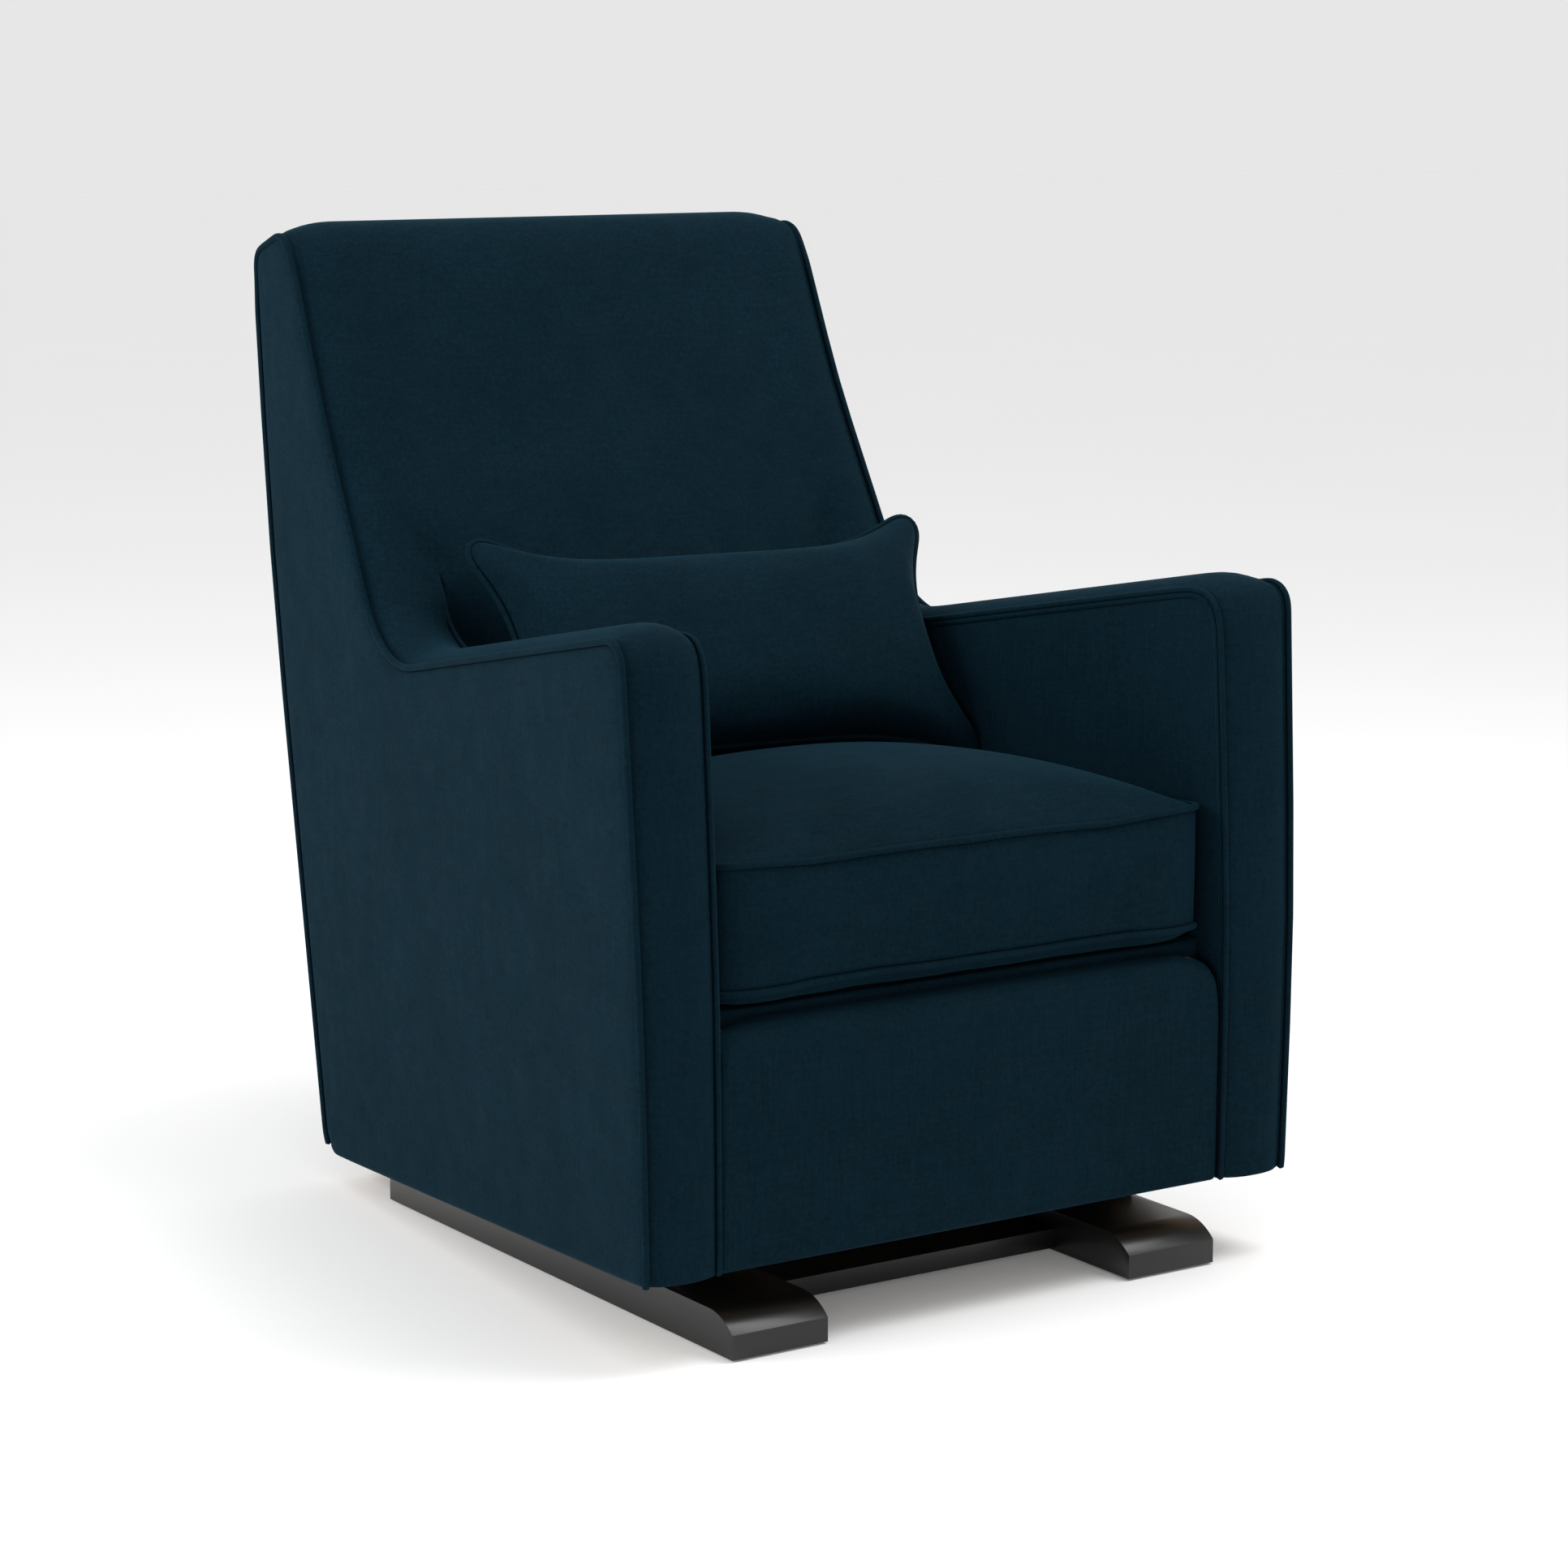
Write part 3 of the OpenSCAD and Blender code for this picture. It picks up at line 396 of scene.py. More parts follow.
def arm_crown_height(depth, row):
    """How far the band swells out of the line between its two seams."""
    t = np.clip((depth - SEAM_DEPTH - WELT_CREASE) / (ARM_DEPTH - SEAM_DEPTH - 2 * WELT_CREASE), 0, 1)
    shape = (1 - np.abs(2 * t - 1) ** 2.4) ** 0.8
    swell = FRONT_CROWN + (ARM_CROWN - FRONT_CROWN) * smoothstep((row - NOSE + 12) / 24.0)
    swell = swell * (1 - 0.35 * smoothstep((row - DIP) / 25.0))
    return swell * shape - CREASE_DIP * (1 - shape)


def back_crown_height(depth, row):
    """How far the seat back swells, from its side seams to its middle."""
    at_top = smoothstep((row - TOP_FRONT + 60) / 55.0)
    t = np.clip((depth - SEAM_DEPTH - WELT_CREASE) / BACK_EDGE_REACH, 0, 1)
    near = (1 - (1 - t) ** 2.3) ** 0.72
    mid = smoothstep((depth - SEAM_DEPTH) / BACK_HALF) * (1 - at_top)
    return BACK_EDGE_CROWN * near + BACK_MID_CROWN * mid - CREASE_DIP * (1 - near)


def dimple(depth, row):
    """The soft valley that runs out from the top of the tuck towards the side seam."""
    above = (row - JOIN) * PATH_STEP
    centre = ARM_DEPTH - DIMPLE_SLANT * max(above, 0)
    fade = smoothstep(1 - above / DIMPLE_RUN) if above > 0 else smoothstep(1 + above / DIMPLE_FADE)
    return DIMPLE * fade * math.exp(-((depth - centre) / DIMPLE_WIDTH) ** 2)


def lining_height(depth, row):
    """Swell of the lining: the arm's crown, which turns into the back's crown below the join."""
    mix = smoothstep((row - ARC_END + 10) / (JOIN - ARC_END + 10))
    arm = arm_crown_height(depth, row)
    return arm * (1 - mix) + back_crown_height(depth, row) * mix - dimple(depth, row)


def lining_place(depth, row):
    """The lining's flat (y, z) point at a depth in from the side, on a row of the outline."""
    blend = smoothstep((depth - SEAM_DEPTH) / SOFT_DEPTH)
    base = tight_path[row] * (1 - blend) + soft_path[row] * blend
    normal = TIGHT_NORMALS[row] * (1 - blend) + SOFT_NORMALS[row] * blend
    return base + normal / np.linalg.norm(normal) * lining_height(depth, row)


def low_place(depth, step):
    """The same behind the seat cushion, a number of steps down from the join."""
    normal = left_normals(soft_path[JOIN:JOIN + 2])[0]
    sink = smoothstep(step * LOW_STEP / TUCK_RUN)
    height = back_crown_height(depth, JOIN) - dimple(depth, JOIN) * (1 - sink)
    height -= TUCK * sink * math.exp(-((depth - ARM_DEPTH) / TUCK_WIDTH) ** 2)
    return soft_path[JOIN] + LOW_DOWN * step * LOW_STEP + normal * height


def lining():
    """The lining's mesh: two arm bands that join the inside back, and the crown above it."""
    cloth = Patchwork()
    shares = np.linspace(-1, 1, BACK_COLS)
    shares = np.sign(shares) * np.abs(shares) ** 0.8
    back_depths = BACK_HALF - np.abs(shares) * (BACK_HALF - ARM_DEPTH)
    last_col = BAND_COLS - 1
    mid_cols = range(1, BACK_COLS - 1)
    for row in range(TOP_REAR + 1):
        for side in (-1, 1):
            for j, depth in enumerate(band_depths()):
                flat = lining_place(depth, row)
                cloth.put(("band", side, row, j), (side * side_x(flat, depth), *flat))
        if row > JOIN:
            for k in mid_cols:
                flat = lining_place(back_depths[k], row)
                cloth.put(("mid", row, k), (shares[k] * side_x(flat, ARM_DEPTH), *flat))
    for step in range(LOW_STEPS + 1):
        for k, share in enumerate(shares):
            flat = low_place(back_depths[k], step)
            if step or k in mid_cols:
                cloth.put(("low", step, k), (share * side_x(flat, ARM_DEPTH), *flat))

    def across(row, k):
        """The vertex of column k: the end columns are the inner edges of the arm bands."""
        if k in (0, BACK_COLS - 1):
            return ("band", -1 if k == 0 else 1, row, last_col)
        return ("mid", row, k) if row > JOIN else ("low", 0, k)

    for row in range(TOP_REAR):
        for j in range(last_col):
            for side in (-1, 1):
                keys = [("band", side, row, j), ("band", side, row, j + 1),
                        ("band", side, row + 1, j + 1), ("band", side, row + 1, j)]
                cloth.quad(*keys[::-side])
    for k in range(BACK_COLS - 1):
        for row in range(JOIN, TOP_REAR):
            cloth.quad(across(row, k), across(row, k + 1), across(row + 1, k + 1), across(row + 1, k))
        upper = (across(JOIN, k), across(JOIN, k + 1))
        for step in range(1, LOW_STEPS + 1):
            lower = (("low", step, k), ("low", step, k + 1))
            cloth.quad(*lower, *upper[::-1])
            upper = lower
    obj = mesh_object("arm_and_back_upholstery", cloth.verts, cloth.faces)
    thicken(obj, LINING_T)
    return obj


# ---------------------------------------------------------------- panels
SEAM_ROLL = 3.4 * MM
HEM_PULL, HEM_ROLL = 2.5 * MM, 3 * MM
HEM_STEP = 8 * MM


def seam_height(distance, dip, rise, reach):
    """Height of a stretched panel by distance from its seam: pulled in there, then swelling out."""
    return -dip * np.exp(-distance / SEAM_ROLL) + rise * (1 - np.exp(-distance / reach))


def outer_panel(name, side):
    """A side panel: one stretched cloth from the arm front to the top of the back."""
    hem = resample(hem_edge, HEM_STEP)
    flat, tris = panel(np.vstack([tight_path, hem[1:-1]]), 9 * MM)
    seam = np.vstack([tight_path, tight_path[-1:]])
    height = seam_height(distance_to(flat, seam), dip=5.5 * MM, rise=2 * MM, reach=30 * MM)
    hem_pull = HEM_PULL * np.exp(-distance_to(flat, hem) / HEM_ROLL)
    x = side_x(flat, 0.5 * MM) + height - hem_pull
    verts = np.c_[side * x, flat]
    obj = mesh_object(name, verts, tris if side > 0 else [t[::-1] for t in tris])
    thicken(obj, PANEL_T)
    return obj


def inner_arm_panel(name, side):
    """The inner face of an arm, from its welt down past the seat cushion."""
    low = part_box("front_seat_rail")[0].z
    top = relax(soft_path, 2)[:ARC_END + 8]
    foot = top[top[:, 1] > low]
    behind = foot[-1] + np.array([30 * MM, 0])
    back_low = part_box("seat_cushion_cover")[1].y - 20 * MM
    rim = np.vstack([foot, behind[None], [[back_low, low]]])
    rim = np.vstack([resample(rim, 7 * MM), resample(np.array([rim[-1], rim[0]]), 12 * MM)[1:-1]])
    flat, tris = panel(rim, 10 * MM)
    height = seam_height(distance_to(flat, foot), dip=4.5 * MM, rise=1.5 * MM, reach=25 * MM)
    x = side_x(flat, ARM_DEPTH - 1 * MM) - height
    obj = mesh_object(name, np.c_[side * x, flat], tris if side < 0 else [t[::-1] for t in tris])
    thicken(obj, INNER_PANEL_T)
    return obj


APRON_HEM, APRON_ROLL = 6 * MM, 24 * MM                  # radii of its bottom and top edges
APRON_SHOULDER, APRON_SHOULDER_DROP = 60 * MM, 17 * MM   # its top corners
APRON_SIDE_ROLL, APRON_TOP_SIDE_ROLL = 5 * MM, 8 * MM    # its side edges, and more of it at the top
APRON_PUFF = 5 * MM
APRON_RISER_ROWS = 5


def apron_profile(low, top, deck_top, deck_edge):
    """(height, retreat) of each row of the apron, from its hem over its top and up to the deck.

    Also gives the number of the first row that is tucked in behind the cushion.
    """
    lip = [(low + 1 * MM, 16 * MM), (low, 8 * MM)]
    hem = [(low + APRON_HEM * (1 - math.cos(a)), APRON_HEM * (1 - math.sin(a)))
           for a in np.linspace(0, math.pi / 2, 5)]
    face = [(z, 0.0) for z in np.linspace(low + 2 * APRON_HEM, top - APRON_ROLL, 26)[:-1]]
    roll = [(top - APRON_ROLL + APRON_ROLL * math.sin(a), APRON_ROLL * (1 - math.cos(a)))
            for a in np.linspace(0, math.pi / 2, 11)]
    last = deck_edge - 3 * MM
    ledge = [(top, y) for y in np.linspace(APRON_ROLL, last, 5)[1:]]
    riser = [(z, last) for z in np.linspace(top, deck_top - 2 * MM, APRON_RISER_ROWS + 1)[1:]]
    over = [(deck_top + 0.5 * MM, last + 3 * MM), (deck_top + 1 * MM, deck_edge + 14 * MM)]
    shown = lip + hem + face + roll + ledge
    return shown + riser + over, len(shown)


def apron_panel():
    """The padded apron under the seat cushion: full, rolled back over its board along the top."""
    shell = coords(frame["nodes"]["front_apron"])
    front, top, low = shell[:, 1].min() + 1 * MM, shell[:, 2].max(), shell[:, 2].min()
    deck = coords(frame["nodes"]["seat_deck"])
    deck_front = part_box("seat_deck")[0].y
    deck_top = deck[deck[:, 1] < deck_front + 1 * MM][:, 2].max()
    profile, tucked = apron_profile(low, top, deck_top, deck_front - front)
    last = profile[tucked][1]
    across = np.sin(np.linspace(-1, 1, 72) * math.pi / 2 * 0.98)
    across /= across[-1]
    verts = []
    for row, (z, retreat) in enumerate(profile):
        lift = np.clip((z - low) / (top - low), 0, 1)
        half = side_x((front, z), ARM_DEPTH) - 0.5 * MM
        side_roll = APRON_SIDE_ROLL + APRON_TOP_SIDE_ROLL * smoothstep((lift - 0.7) / 0.3)
        for share in across:
            side_gap = (1 - abs(share)) * half
            edge = np.clip(1 - side_gap / APRON_SHOULDER, 0, 1)
            drop = APRON_SHOULDER_DROP * (1 - math.sqrt(1 - edge * edge)) * smoothstep((lift - 0.72) / 0.28)
            drop *= max(0.0, 1 - max(0, row - tucked + 1) / APRON_RISER_ROWS)
            near = np.clip(1 - side_gap / (side_roll * 1.3), 0, 1)
            back = side_roll * (1 - math.sqrt(max(0.0, 1 - near * near)))
            puff = APRON_PUFF * (1 - abs(share) ** 4) * math.sin(math.pi * lift ** 0.9) ** 0.7
            y = front + (retreat if row >= tucked else min(retreat + back, last))
            y -= puff * (1 - min(1, retreat / APRON_ROLL))
            verts.append((share * half, y, z - drop))
    obj = mesh_object("front_apron_cover", verts, grid_faces(len(profile), len(across)))
    thicken(obj, APRON_T)
    return obj


def outside_back_panel():
    """The cover of the rear, from the crown's rear seam down to the hem."""
    rows = np.arange(TOP_REAR, row_count)
    path = relax(edge_path, 8)[rows]
    normals = left_normals(path)
    shares = np.linspace(-1, 1, 50)
    verts = []
    for p, n in zip(path, normals):
        half = side_x(p, SEAM_DEPTH)
        for share in shares:
            edge = (1 - abs(share)) * half
            lift = seam_height(np.array([edge]), dip=2 * MM, rise=2.5 * MM, reach=30 * MM)[0]
            flat = p + n * (lift - 1.5 * MM)
            verts.append((share * half, flat[0], flat[1]))
    obj = mesh_object("outside_back_cover", verts, grid_faces(len(rows), len(shares)))
    face_outward(obj)
    thicken(obj, PANEL_T)
    return obj


# ---------------------------------------------------------------- cushions
def smooth_field(obj, field, rounds):
    """A value at each vertex, averaged with its neighbours' a number of times."""
    edges = np.zeros(len(obj.data.edges) * 2, int)
    obj.data.edges.foreach_get("vertices", edges)
    a, b = edges.reshape(-1, 2).T
    count = np.bincount(np.r_[a, b], minlength=len(field))[:, None]
    for _ in range(rounds):
        total = np.zeros_like(field)
        np.add.at(total, a, field[b])
        np.add.at(total, b, field[a])
        field = 0.5 * field + 0.5 * total / count
    return field


def simulate(obj, pressure, frames, cap, calm):
    """Blows the closed mesh up as sewn cloth.

    The cap limits how far a point moves, and calm is the number of rounds that even out creases.
    """
    start = coords(obj)
    mod = obj.modifiers.new("Cloth", "CLOTH")
    cloth = mod.settings
    cloth.quality = 7
    cloth.mass = 0.3
    cloth.use_pressure = True
    cloth.uniform_pressure_force = pressure
    cloth.effector_weights.gravity = 0
    cloth.tension_stiffness = cloth.compression_stiffness = 14
    cloth.shear_stiffness = 5
    cloth.bending_stiffness = 2
    cloth.air_damping = 4
    mod.point_cache.frame_start = 1
    mod.point_cache.frame_end = frames
    scene = bpy.context.scene
    for f in range(1, frames + 1):
        scene.frame_set(f)
    graph = bpy.context.evaluated_depsgraph_get()
    step = coords(obj.evaluated_get(graph)) - start
    obj.modifiers.clear()
    scene.frame_set(1)
    length = np.maximum(np.linalg.norm(step, axis=1, keepdims=True), 1e-9)
    step = step / length * cap * np.tanh(length / cap)
    fine = step - smooth_field(obj, step, 3)
    set_coords(obj, start + smooth_field(obj, step, calm) + 0.35 * fine)


def box_grid(name, cells, place):
    """A closed box of quads, with each corner of its lattice of cells placed by a function."""
    box = Patchwork()
    for fixed in (2, 1, 0):
        first, second = [axis for axis in range(3) if axis != fixed]
        for i in range(cells[first]):
            for j in range(cells[second]):
                for level in (0, cells[fixed]):
                    ring = []
                    for di, dj in ((0, 0), (1, 0), (1, 1), (0, 1)):
                        at = {first: i + di, second: j + dj, fixed: level}
                        key = (at[0], at[1], at[2])
                        ring.append(key)
                        if key not in box.index:
                            box.put(key, place(*(k / n for k, n in zip(key, cells))))
                    box.quad(*ring)
    obj = mesh_object(name, box.verts, box.faces)
    face_outward(obj)
    return obj, box.index


def rim_cells(nu, nv):
    """The lattice places round the rim of a panel, in order."""
    return ([(i, 0) for i in range(nu)] + [(nu, j) for j in range(nv)]
            + [(i, nv) for i in range(nu, 0, -1)] + [(0, j) for j in range(nv, 0, -1)])


def relax_closed(points, rounds):
    """The closed loop of points, smoothed."""
    points = np.array(points, float)
    for _ in range(rounds):
        points = (np.roll(points, 1, 0) + 2 * points + np.roll(points, -1, 0)) / 4
    return points


def subdivide(obj):
    """One round of smooth subdivision, applied."""
    sub = obj.modifiers.new("smooth", "SUBSURF")
    sub.levels = sub.render_levels = 1
    apply_modifiers(obj)


SEAT_CELLS = (66, 56, 14)
SEAT_SEAM_LOW, SEAT_SEAM_HIGH = 12 * MM, 126 * MM    # seams above the front of the underside
SEAT_SIDE_GAP, SEAT_SETBACK, SEAT_REAR_GAP = 1.5 * MM, 7 * MM, 9 * MM
SEAT_CROWN_AT, SEAT_CROWN_SPARE = 240 * MM, 5 * MM   # depth of the crown, and its rise before it settles
SEAT_BELLY = 16 * MM
SEAT_CORNER = 13 * MM
SEAT_WAIST = 3 * MM                                  # the side walls' swell at half height
SEAT_EDGE = 4 * MM                                   # the underside rounds up over this height
SEAT_WELT_OUT = 1.2 * MM


def seat_cushion():
    """The loose box cushion: blown up as cloth, flat underneath, with a welt round both panels."""
    low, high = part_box("seat_cushion_cover")
    shell = coords(frame["nodes"]["seat_cushion_cover"])
    front_low = shell[shell[:, 1] < low.y + 1 * MM][:, 2].min()
    rear = shell[np.argmax(shell[:, 1])]
    low_rear = shell[np.argmin(shell[:, 2])]
    pitch = (front_low - low_rear[2]) / (low_rear[1] - low.y)
    seam_low, seam_high = front_low + SEAT_SEAM_LOW, front_low + SEAT_SEAM_HIGH
    front_y = low.y + SEAT_SETBACK
    crown = high.z - (seam_high - pitch * SEAT_CROWN_AT) + SEAT_CROWN_SPARE

    def place(u, v, w):
        z = seam_low + (seam_high - seam_low) * w
        back = low_rear[1] + (rear[1] - low_rear[1]) * w - SEAT_REAR_GAP
        y = front_y + (back - front_y) * v
        z -= pitch * (y - low.y)
        half = side_x((y, z), ARM_DEPTH) - SEAT_SIDE_GAP
        cu, cv = 2 * u - 1, 2 * v - 1
        dome = ((1 - abs(cu) ** 2.4) * (1 - abs(cv) ** 2.4)) ** 0.8
        belly = ((1 - abs(cu) ** 12) * (1 - abs(cv) ** 12)) ** 0.6
        z += dome * crown if w == 1 else -SEAT_BELLY * belly if w == 0 else 0
        corner = SEAT_CORNER * abs(cu * cv) ** 8
        x = cu * half - math.copysign(corner, cu)
        y -= math.copysign(corner, cv) + SEAT_WAIST * cv * (1 - cu ** 4) * 4 * w * (w - 1)
        x -= SEAT_WAIST * cu * (1 - cv ** 4) * 4 * w * (w - 1)
        return (x, y, z)

    nu, nv, nw = SEAT_CELLS
    obj, index = box_grid("seat_cushion", SEAT_CELLS, place)
    simulate(obj, pressure=4.0, frames=16, cap=15 * MM, calm=14)
    co = coords(obj)
    deck = front_low + 0.5 * MM - pitch * (co[:, 1] - low.y)
    over = co[:, 2] - deck
    pressed = SEAT_EDGE * np.exp(np.minimum(over / SEAT_EDGE - 1, 0))
    co[:, 2] = deck + np.where(over < SEAT_EDGE, pressed, over)
    limit = side_x(co[:, 1:], ARM_DEPTH) - SEAT_SIDE_GAP
    co[:, 0] = np.clip(co[:, 0], -limit, limit)
    set_coords(obj, co)
    welts = []
    for tag, k in (("top", nw), ("bottom", 0)):
        loop = np.array([co[index[(i, j, k)]] for i, j in rim_cells(nu, nv)])
        out = loop - loop.mean(0)
        out[:, 2] = 0
        out /= np.linalg.norm(out, axis=1)[:, None]
        loop = relax_closed(loop + out * SEAT_WELT_OUT, 2)
        welts.append(tube(f"seat_cushion_{tag}_welt", loop, CUSHION_WELT_R, closed=True))
    subdivide(obj)
    return obj, welts


PILLOW_CELLS = (76, 42)
PILLOW_SPARE_W, PILLOW_SPARE_H = 28 * MM, 23 * MM    # its ears' reach past the plain CAD solid
PILLOW_SIDE_DIP, PILLOW_TOP_DIP = 30 * MM, 43 * MM   # how far its edges pull in between the ears
PILLOW_EAR = 38 * MM
PILLOW_SLACK = 7 * MM


def lumbar_pillow():
    """The lumbar pillow: two panels sewn round their rim, with rounded ears at its corners and a welt."""
    shell = coords(frame["nodes"]["lumbar_pillow_cover"])
    centre = (shell.max(0) + shell.min(0)) / 2
    spread = np.linalg.eigh(np.cov((shell - shell.mean(0)).T))[1]
    across, up, out = spread[:, 2], spread[:, 1], spread[:, 0]
    across = across * np.sign(across[0])
    up = up * np.sign(up[2])
    out = np.cross(across, up)
    local = (shell - centre) @ np.stack([across, up, out], 1)
    half_w, half_h, half_t = (local.max(0) - local.min(0)) / 2
    nu, nv = PILLOW_CELLS
    verts, index = [], {}

    def vertex(i, j, front):
        u, v = 2 * i / nu - 1, 2 * j / nv - 1
        rim = i in (0, nu) or j in (0, nv)
        key = (i, j, 0 if rim else front)
        if key in index:
            return index[key]
        near_u = 1 - (1 - abs(u)) * half_w / PILLOW_EAR
        near_v = 1 - (1 - abs(v)) * half_h / PILLOW_EAR
        x = u * (half_w + PILLOW_SPARE_W - PILLOW_SIDE_DIP * (1 - abs(v) ** 2.6) ** 1.6 * u * u)
        z = v * (half_h + PILLOW_SPARE_H - PILLOW_TOP_DIP * (1 - abs(u) ** 4) ** 1.6 * v * v)
        if near_u > 0 and near_v > 0:
            x -= math.copysign(PILLOW_EAR * near_u * (1 - math.sqrt(1 - near_v ** 2 / 2)), u)
            z -= math.copysign(PILLOW_EAR * near_v * (1 - math.sqrt(1 - near_u ** 2 / 2)), v)
        puff = ((1 - abs(u) ** 3.2) * (1 - abs(v) ** 2.4)) ** 0.6
        y = 0.0 if rim else front * (half_t - PILLOW_SLACK) * puff
        index[key] = len(verts)
        verts.append(centre + across * x + up * z + out * y)
        return index[key]

    faces = []
    for front in (1, -1):
        for i in range(nu):
            for j in range(nv):
                faces.append([vertex(i, j, front), vertex(i + 1, j, front),
                              vertex(i + 1, j + 1, front), vertex(i, j + 1, front)])
    obj = mesh_object("lumbar_pillow", verts, faces)
    face_outward(obj)
    simulate(obj, pressure=3.0, frames=12, cap=8 * MM, calm=8)
    co = coords(obj)
    loop = np.array([co[index[(i, j, 0)]] for i, j in rim_cells(nu, nv)])
    welt = tube("lumbar_pillow_welt", relax_closed(loop, 3), CUSHION_WELT_R, closed=True)
    subdivide(obj)
    return obj, welt


# ---------------------------------------------------------------- welts
SIDE_WELT_DEPTH, ARM_WELT_INSET = 1.6 * MM, 2.2 * MM
TOP_FADE = 12                # rows over which the side welt sinks in before the back's top


def side_welt(name, side):
    """The welt round a side panel, from the arm's front to the rear hem. It lies deeper over the top."""
    rows = np.arange(row_count)
    over_top = smoothstep((rows - TOP_FRONT + 14) / TOP_FADE)
    over_top *= 1 - smoothstep((rows - TOP_REAR - 4) / TOP_FADE)
    path = tight_path + left_normals(tight_path) * (0.2 - 3.4 * over_top)[:, None] * MM
    return tube(name, np.c_[side * side_x(path, SIDE_WELT_DEPTH), path], WELT_R)


def arm_welt(name, side):
    """The welt on an arm's inner edge, from the hem to where the arm runs into the back."""
    path = (soft_path + left_normals(soft_path) * 0.5 * MM)[:ARC_END + 2]
    return tube(name, np.c_[side * side_x(path, ARM_DEPTH - ARM_WELT_INSET), path], WELT_R * 0.9)


def crown_welt():
    """The welt along the crown's rear seam."""
    p = tight_path[TOP_REAR] + left_normals(tight_path)[TOP_REAR] * 0.5 * MM
    half = side_x(p, SEAM_DEPTH)
    return tube("crown_welt", [(x, p[0], p[1]) for x in np.linspace(-half, half, 60)], WELT_R * 0.8)


# ---------------------------------------------------------------- hidden cloths
def deck_panel():
    """The plain cloth deck over the seat springs."""
    low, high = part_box("seat_deck")
    shell = coords(frame["nodes"]["seat_deck"])
    front_top = shell[shell[:, 1] < low.y + 1 * MM][:, 2].max()
    back = shell[np.argmax(shell[:, 1])]
    verts = []
    for v in np.linspace(0, 1, 40):
        y = low.y + (high.y - low.y) * v
        z = front_top + (back[2] - front_top) * v
        half = side_x((y, z), ARM_DEPTH) - 1.5 * MM
        for u in np.linspace(-1, 1, 50):
            sag = 3 * MM * (1 - u * u) * (1 - (2 * v - 1) ** 2)
            verts.append((u * half, y, z - sag))
    obj = mesh_object("seat_deck_cloth", verts, grid_faces(40, 50))
    thicken(obj, DECK_T)
    return obj


def dust_panel():
    """The thin black cloth stapled under the seat frame."""
    low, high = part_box("dust_cover")
    verts = []
    for v in np.linspace(0, 1, 30):
        for u in np.linspace(-1, 1, 30):
            sag = 2.5 * MM * (1 - u ** 4) * (1 - (2 * v - 1) ** 4)
            verts.append((u * high.x, low.y + (high.y - low.y) * v, high.z - 0.3 * MM - sag))
    obj = mesh_object("dust_cover_cloth", verts, grid_faces(30, 30))
    thicken(obj, DUST_T)
    return obj


# ---------------------------------------------------------------- materials
def shades(tint, *factors):
    """The tint made darker or lighter by each factor."""
    return [tuple(factor * c for c in tint) for factor in factors]


class Nodes:
    """A small helper that builds a material's nodes and links."""

    def __init__(self, name):
        self.material = bpy.data.materials.new(name)
        self.material.use_nodes = True
        self.tree = self.material.node_tree
        self.tree.nodes.clear()
        self.output = self.add("ShaderNodeOutputMaterial")
        self.shader = self.add("ShaderNodeBsdfPrincipled")
        self.link(self.shader.outputs["BSDF"], self.output.inputs["Surface"])
        self.place = self.add("ShaderNodeTexCoord").outputs["Object"]

    def add(self, kind, **values):
        node = self.tree.nodes.new(kind)
        for key, value in values.items():
            setattr(node, key, value)
        return node

    def link(self, a, b):
        self.tree.links.new(a, b)

    def stretched(self, scale):
        node = self.add("ShaderNodeMapping")
        node.inputs["Scale"].default_value = scale
        self.link(self.place, node.inputs["Vector"])
        return node.outputs["Vector"]

    def noise(self, scale, detail=3.0, roughness=0.55, stretch=(1, 1, 1)):
        node = self.add("ShaderNodeTexNoise")
        node.inputs["Scale"].default_value = scale
        node.inputs["Detail"].default_value = detail
        node.inputs["Roughness"].default_value = roughness
        self.link(self.stretched(stretch), node.inputs["Vector"])
        return node.outputs["Fac"]

    def ramp(self, value, stops):
        node = self.add("ShaderNodeValToRGB")
        ramp = node.color_ramp
        while len(ramp.elements) < len(stops):
            ramp.elements.new(0.5)
        for element, (at, colour) in zip(ramp.elements, stops):
            element.position = at
            element.color = (*colour, 1) if len(colour) == 3 else colour
        self.link(value, node.inputs["Fac"])
        return node.outputs["Color"]

    def grey(self, value, low, high):
        return self.ramp(value, [(0.3, (low,) * 3), (0.7, (high,) * 3)])

    def times(self, a, b):
        node = self.add("ShaderNodeMix", data_type="RGBA", blend_type="MULTIPLY")
        node.inputs["Factor"].default_value = 1
        self.link(a, node.inputs["A"])
        self.link(b, node.inputs["B"])
        return node.outputs["Result"]

    def bump(self, height, strength, distance, below=None):
        node = self.add("ShaderNodeBump")
        node.inputs["Strength"].default_value = strength
        node.inputs["Distance"].default_value = distance
        self.link(height, node.inputs["Height"])
        if below is not None:
            self.link(below, node.inputs["Normal"])
        return node.outputs["Normal"]


# How far the velvet's painted crease shade looks for nearby surfaces when it darkens closed-in places.
PAINTED_CREASE_SHADE_REACH = 9 * MM


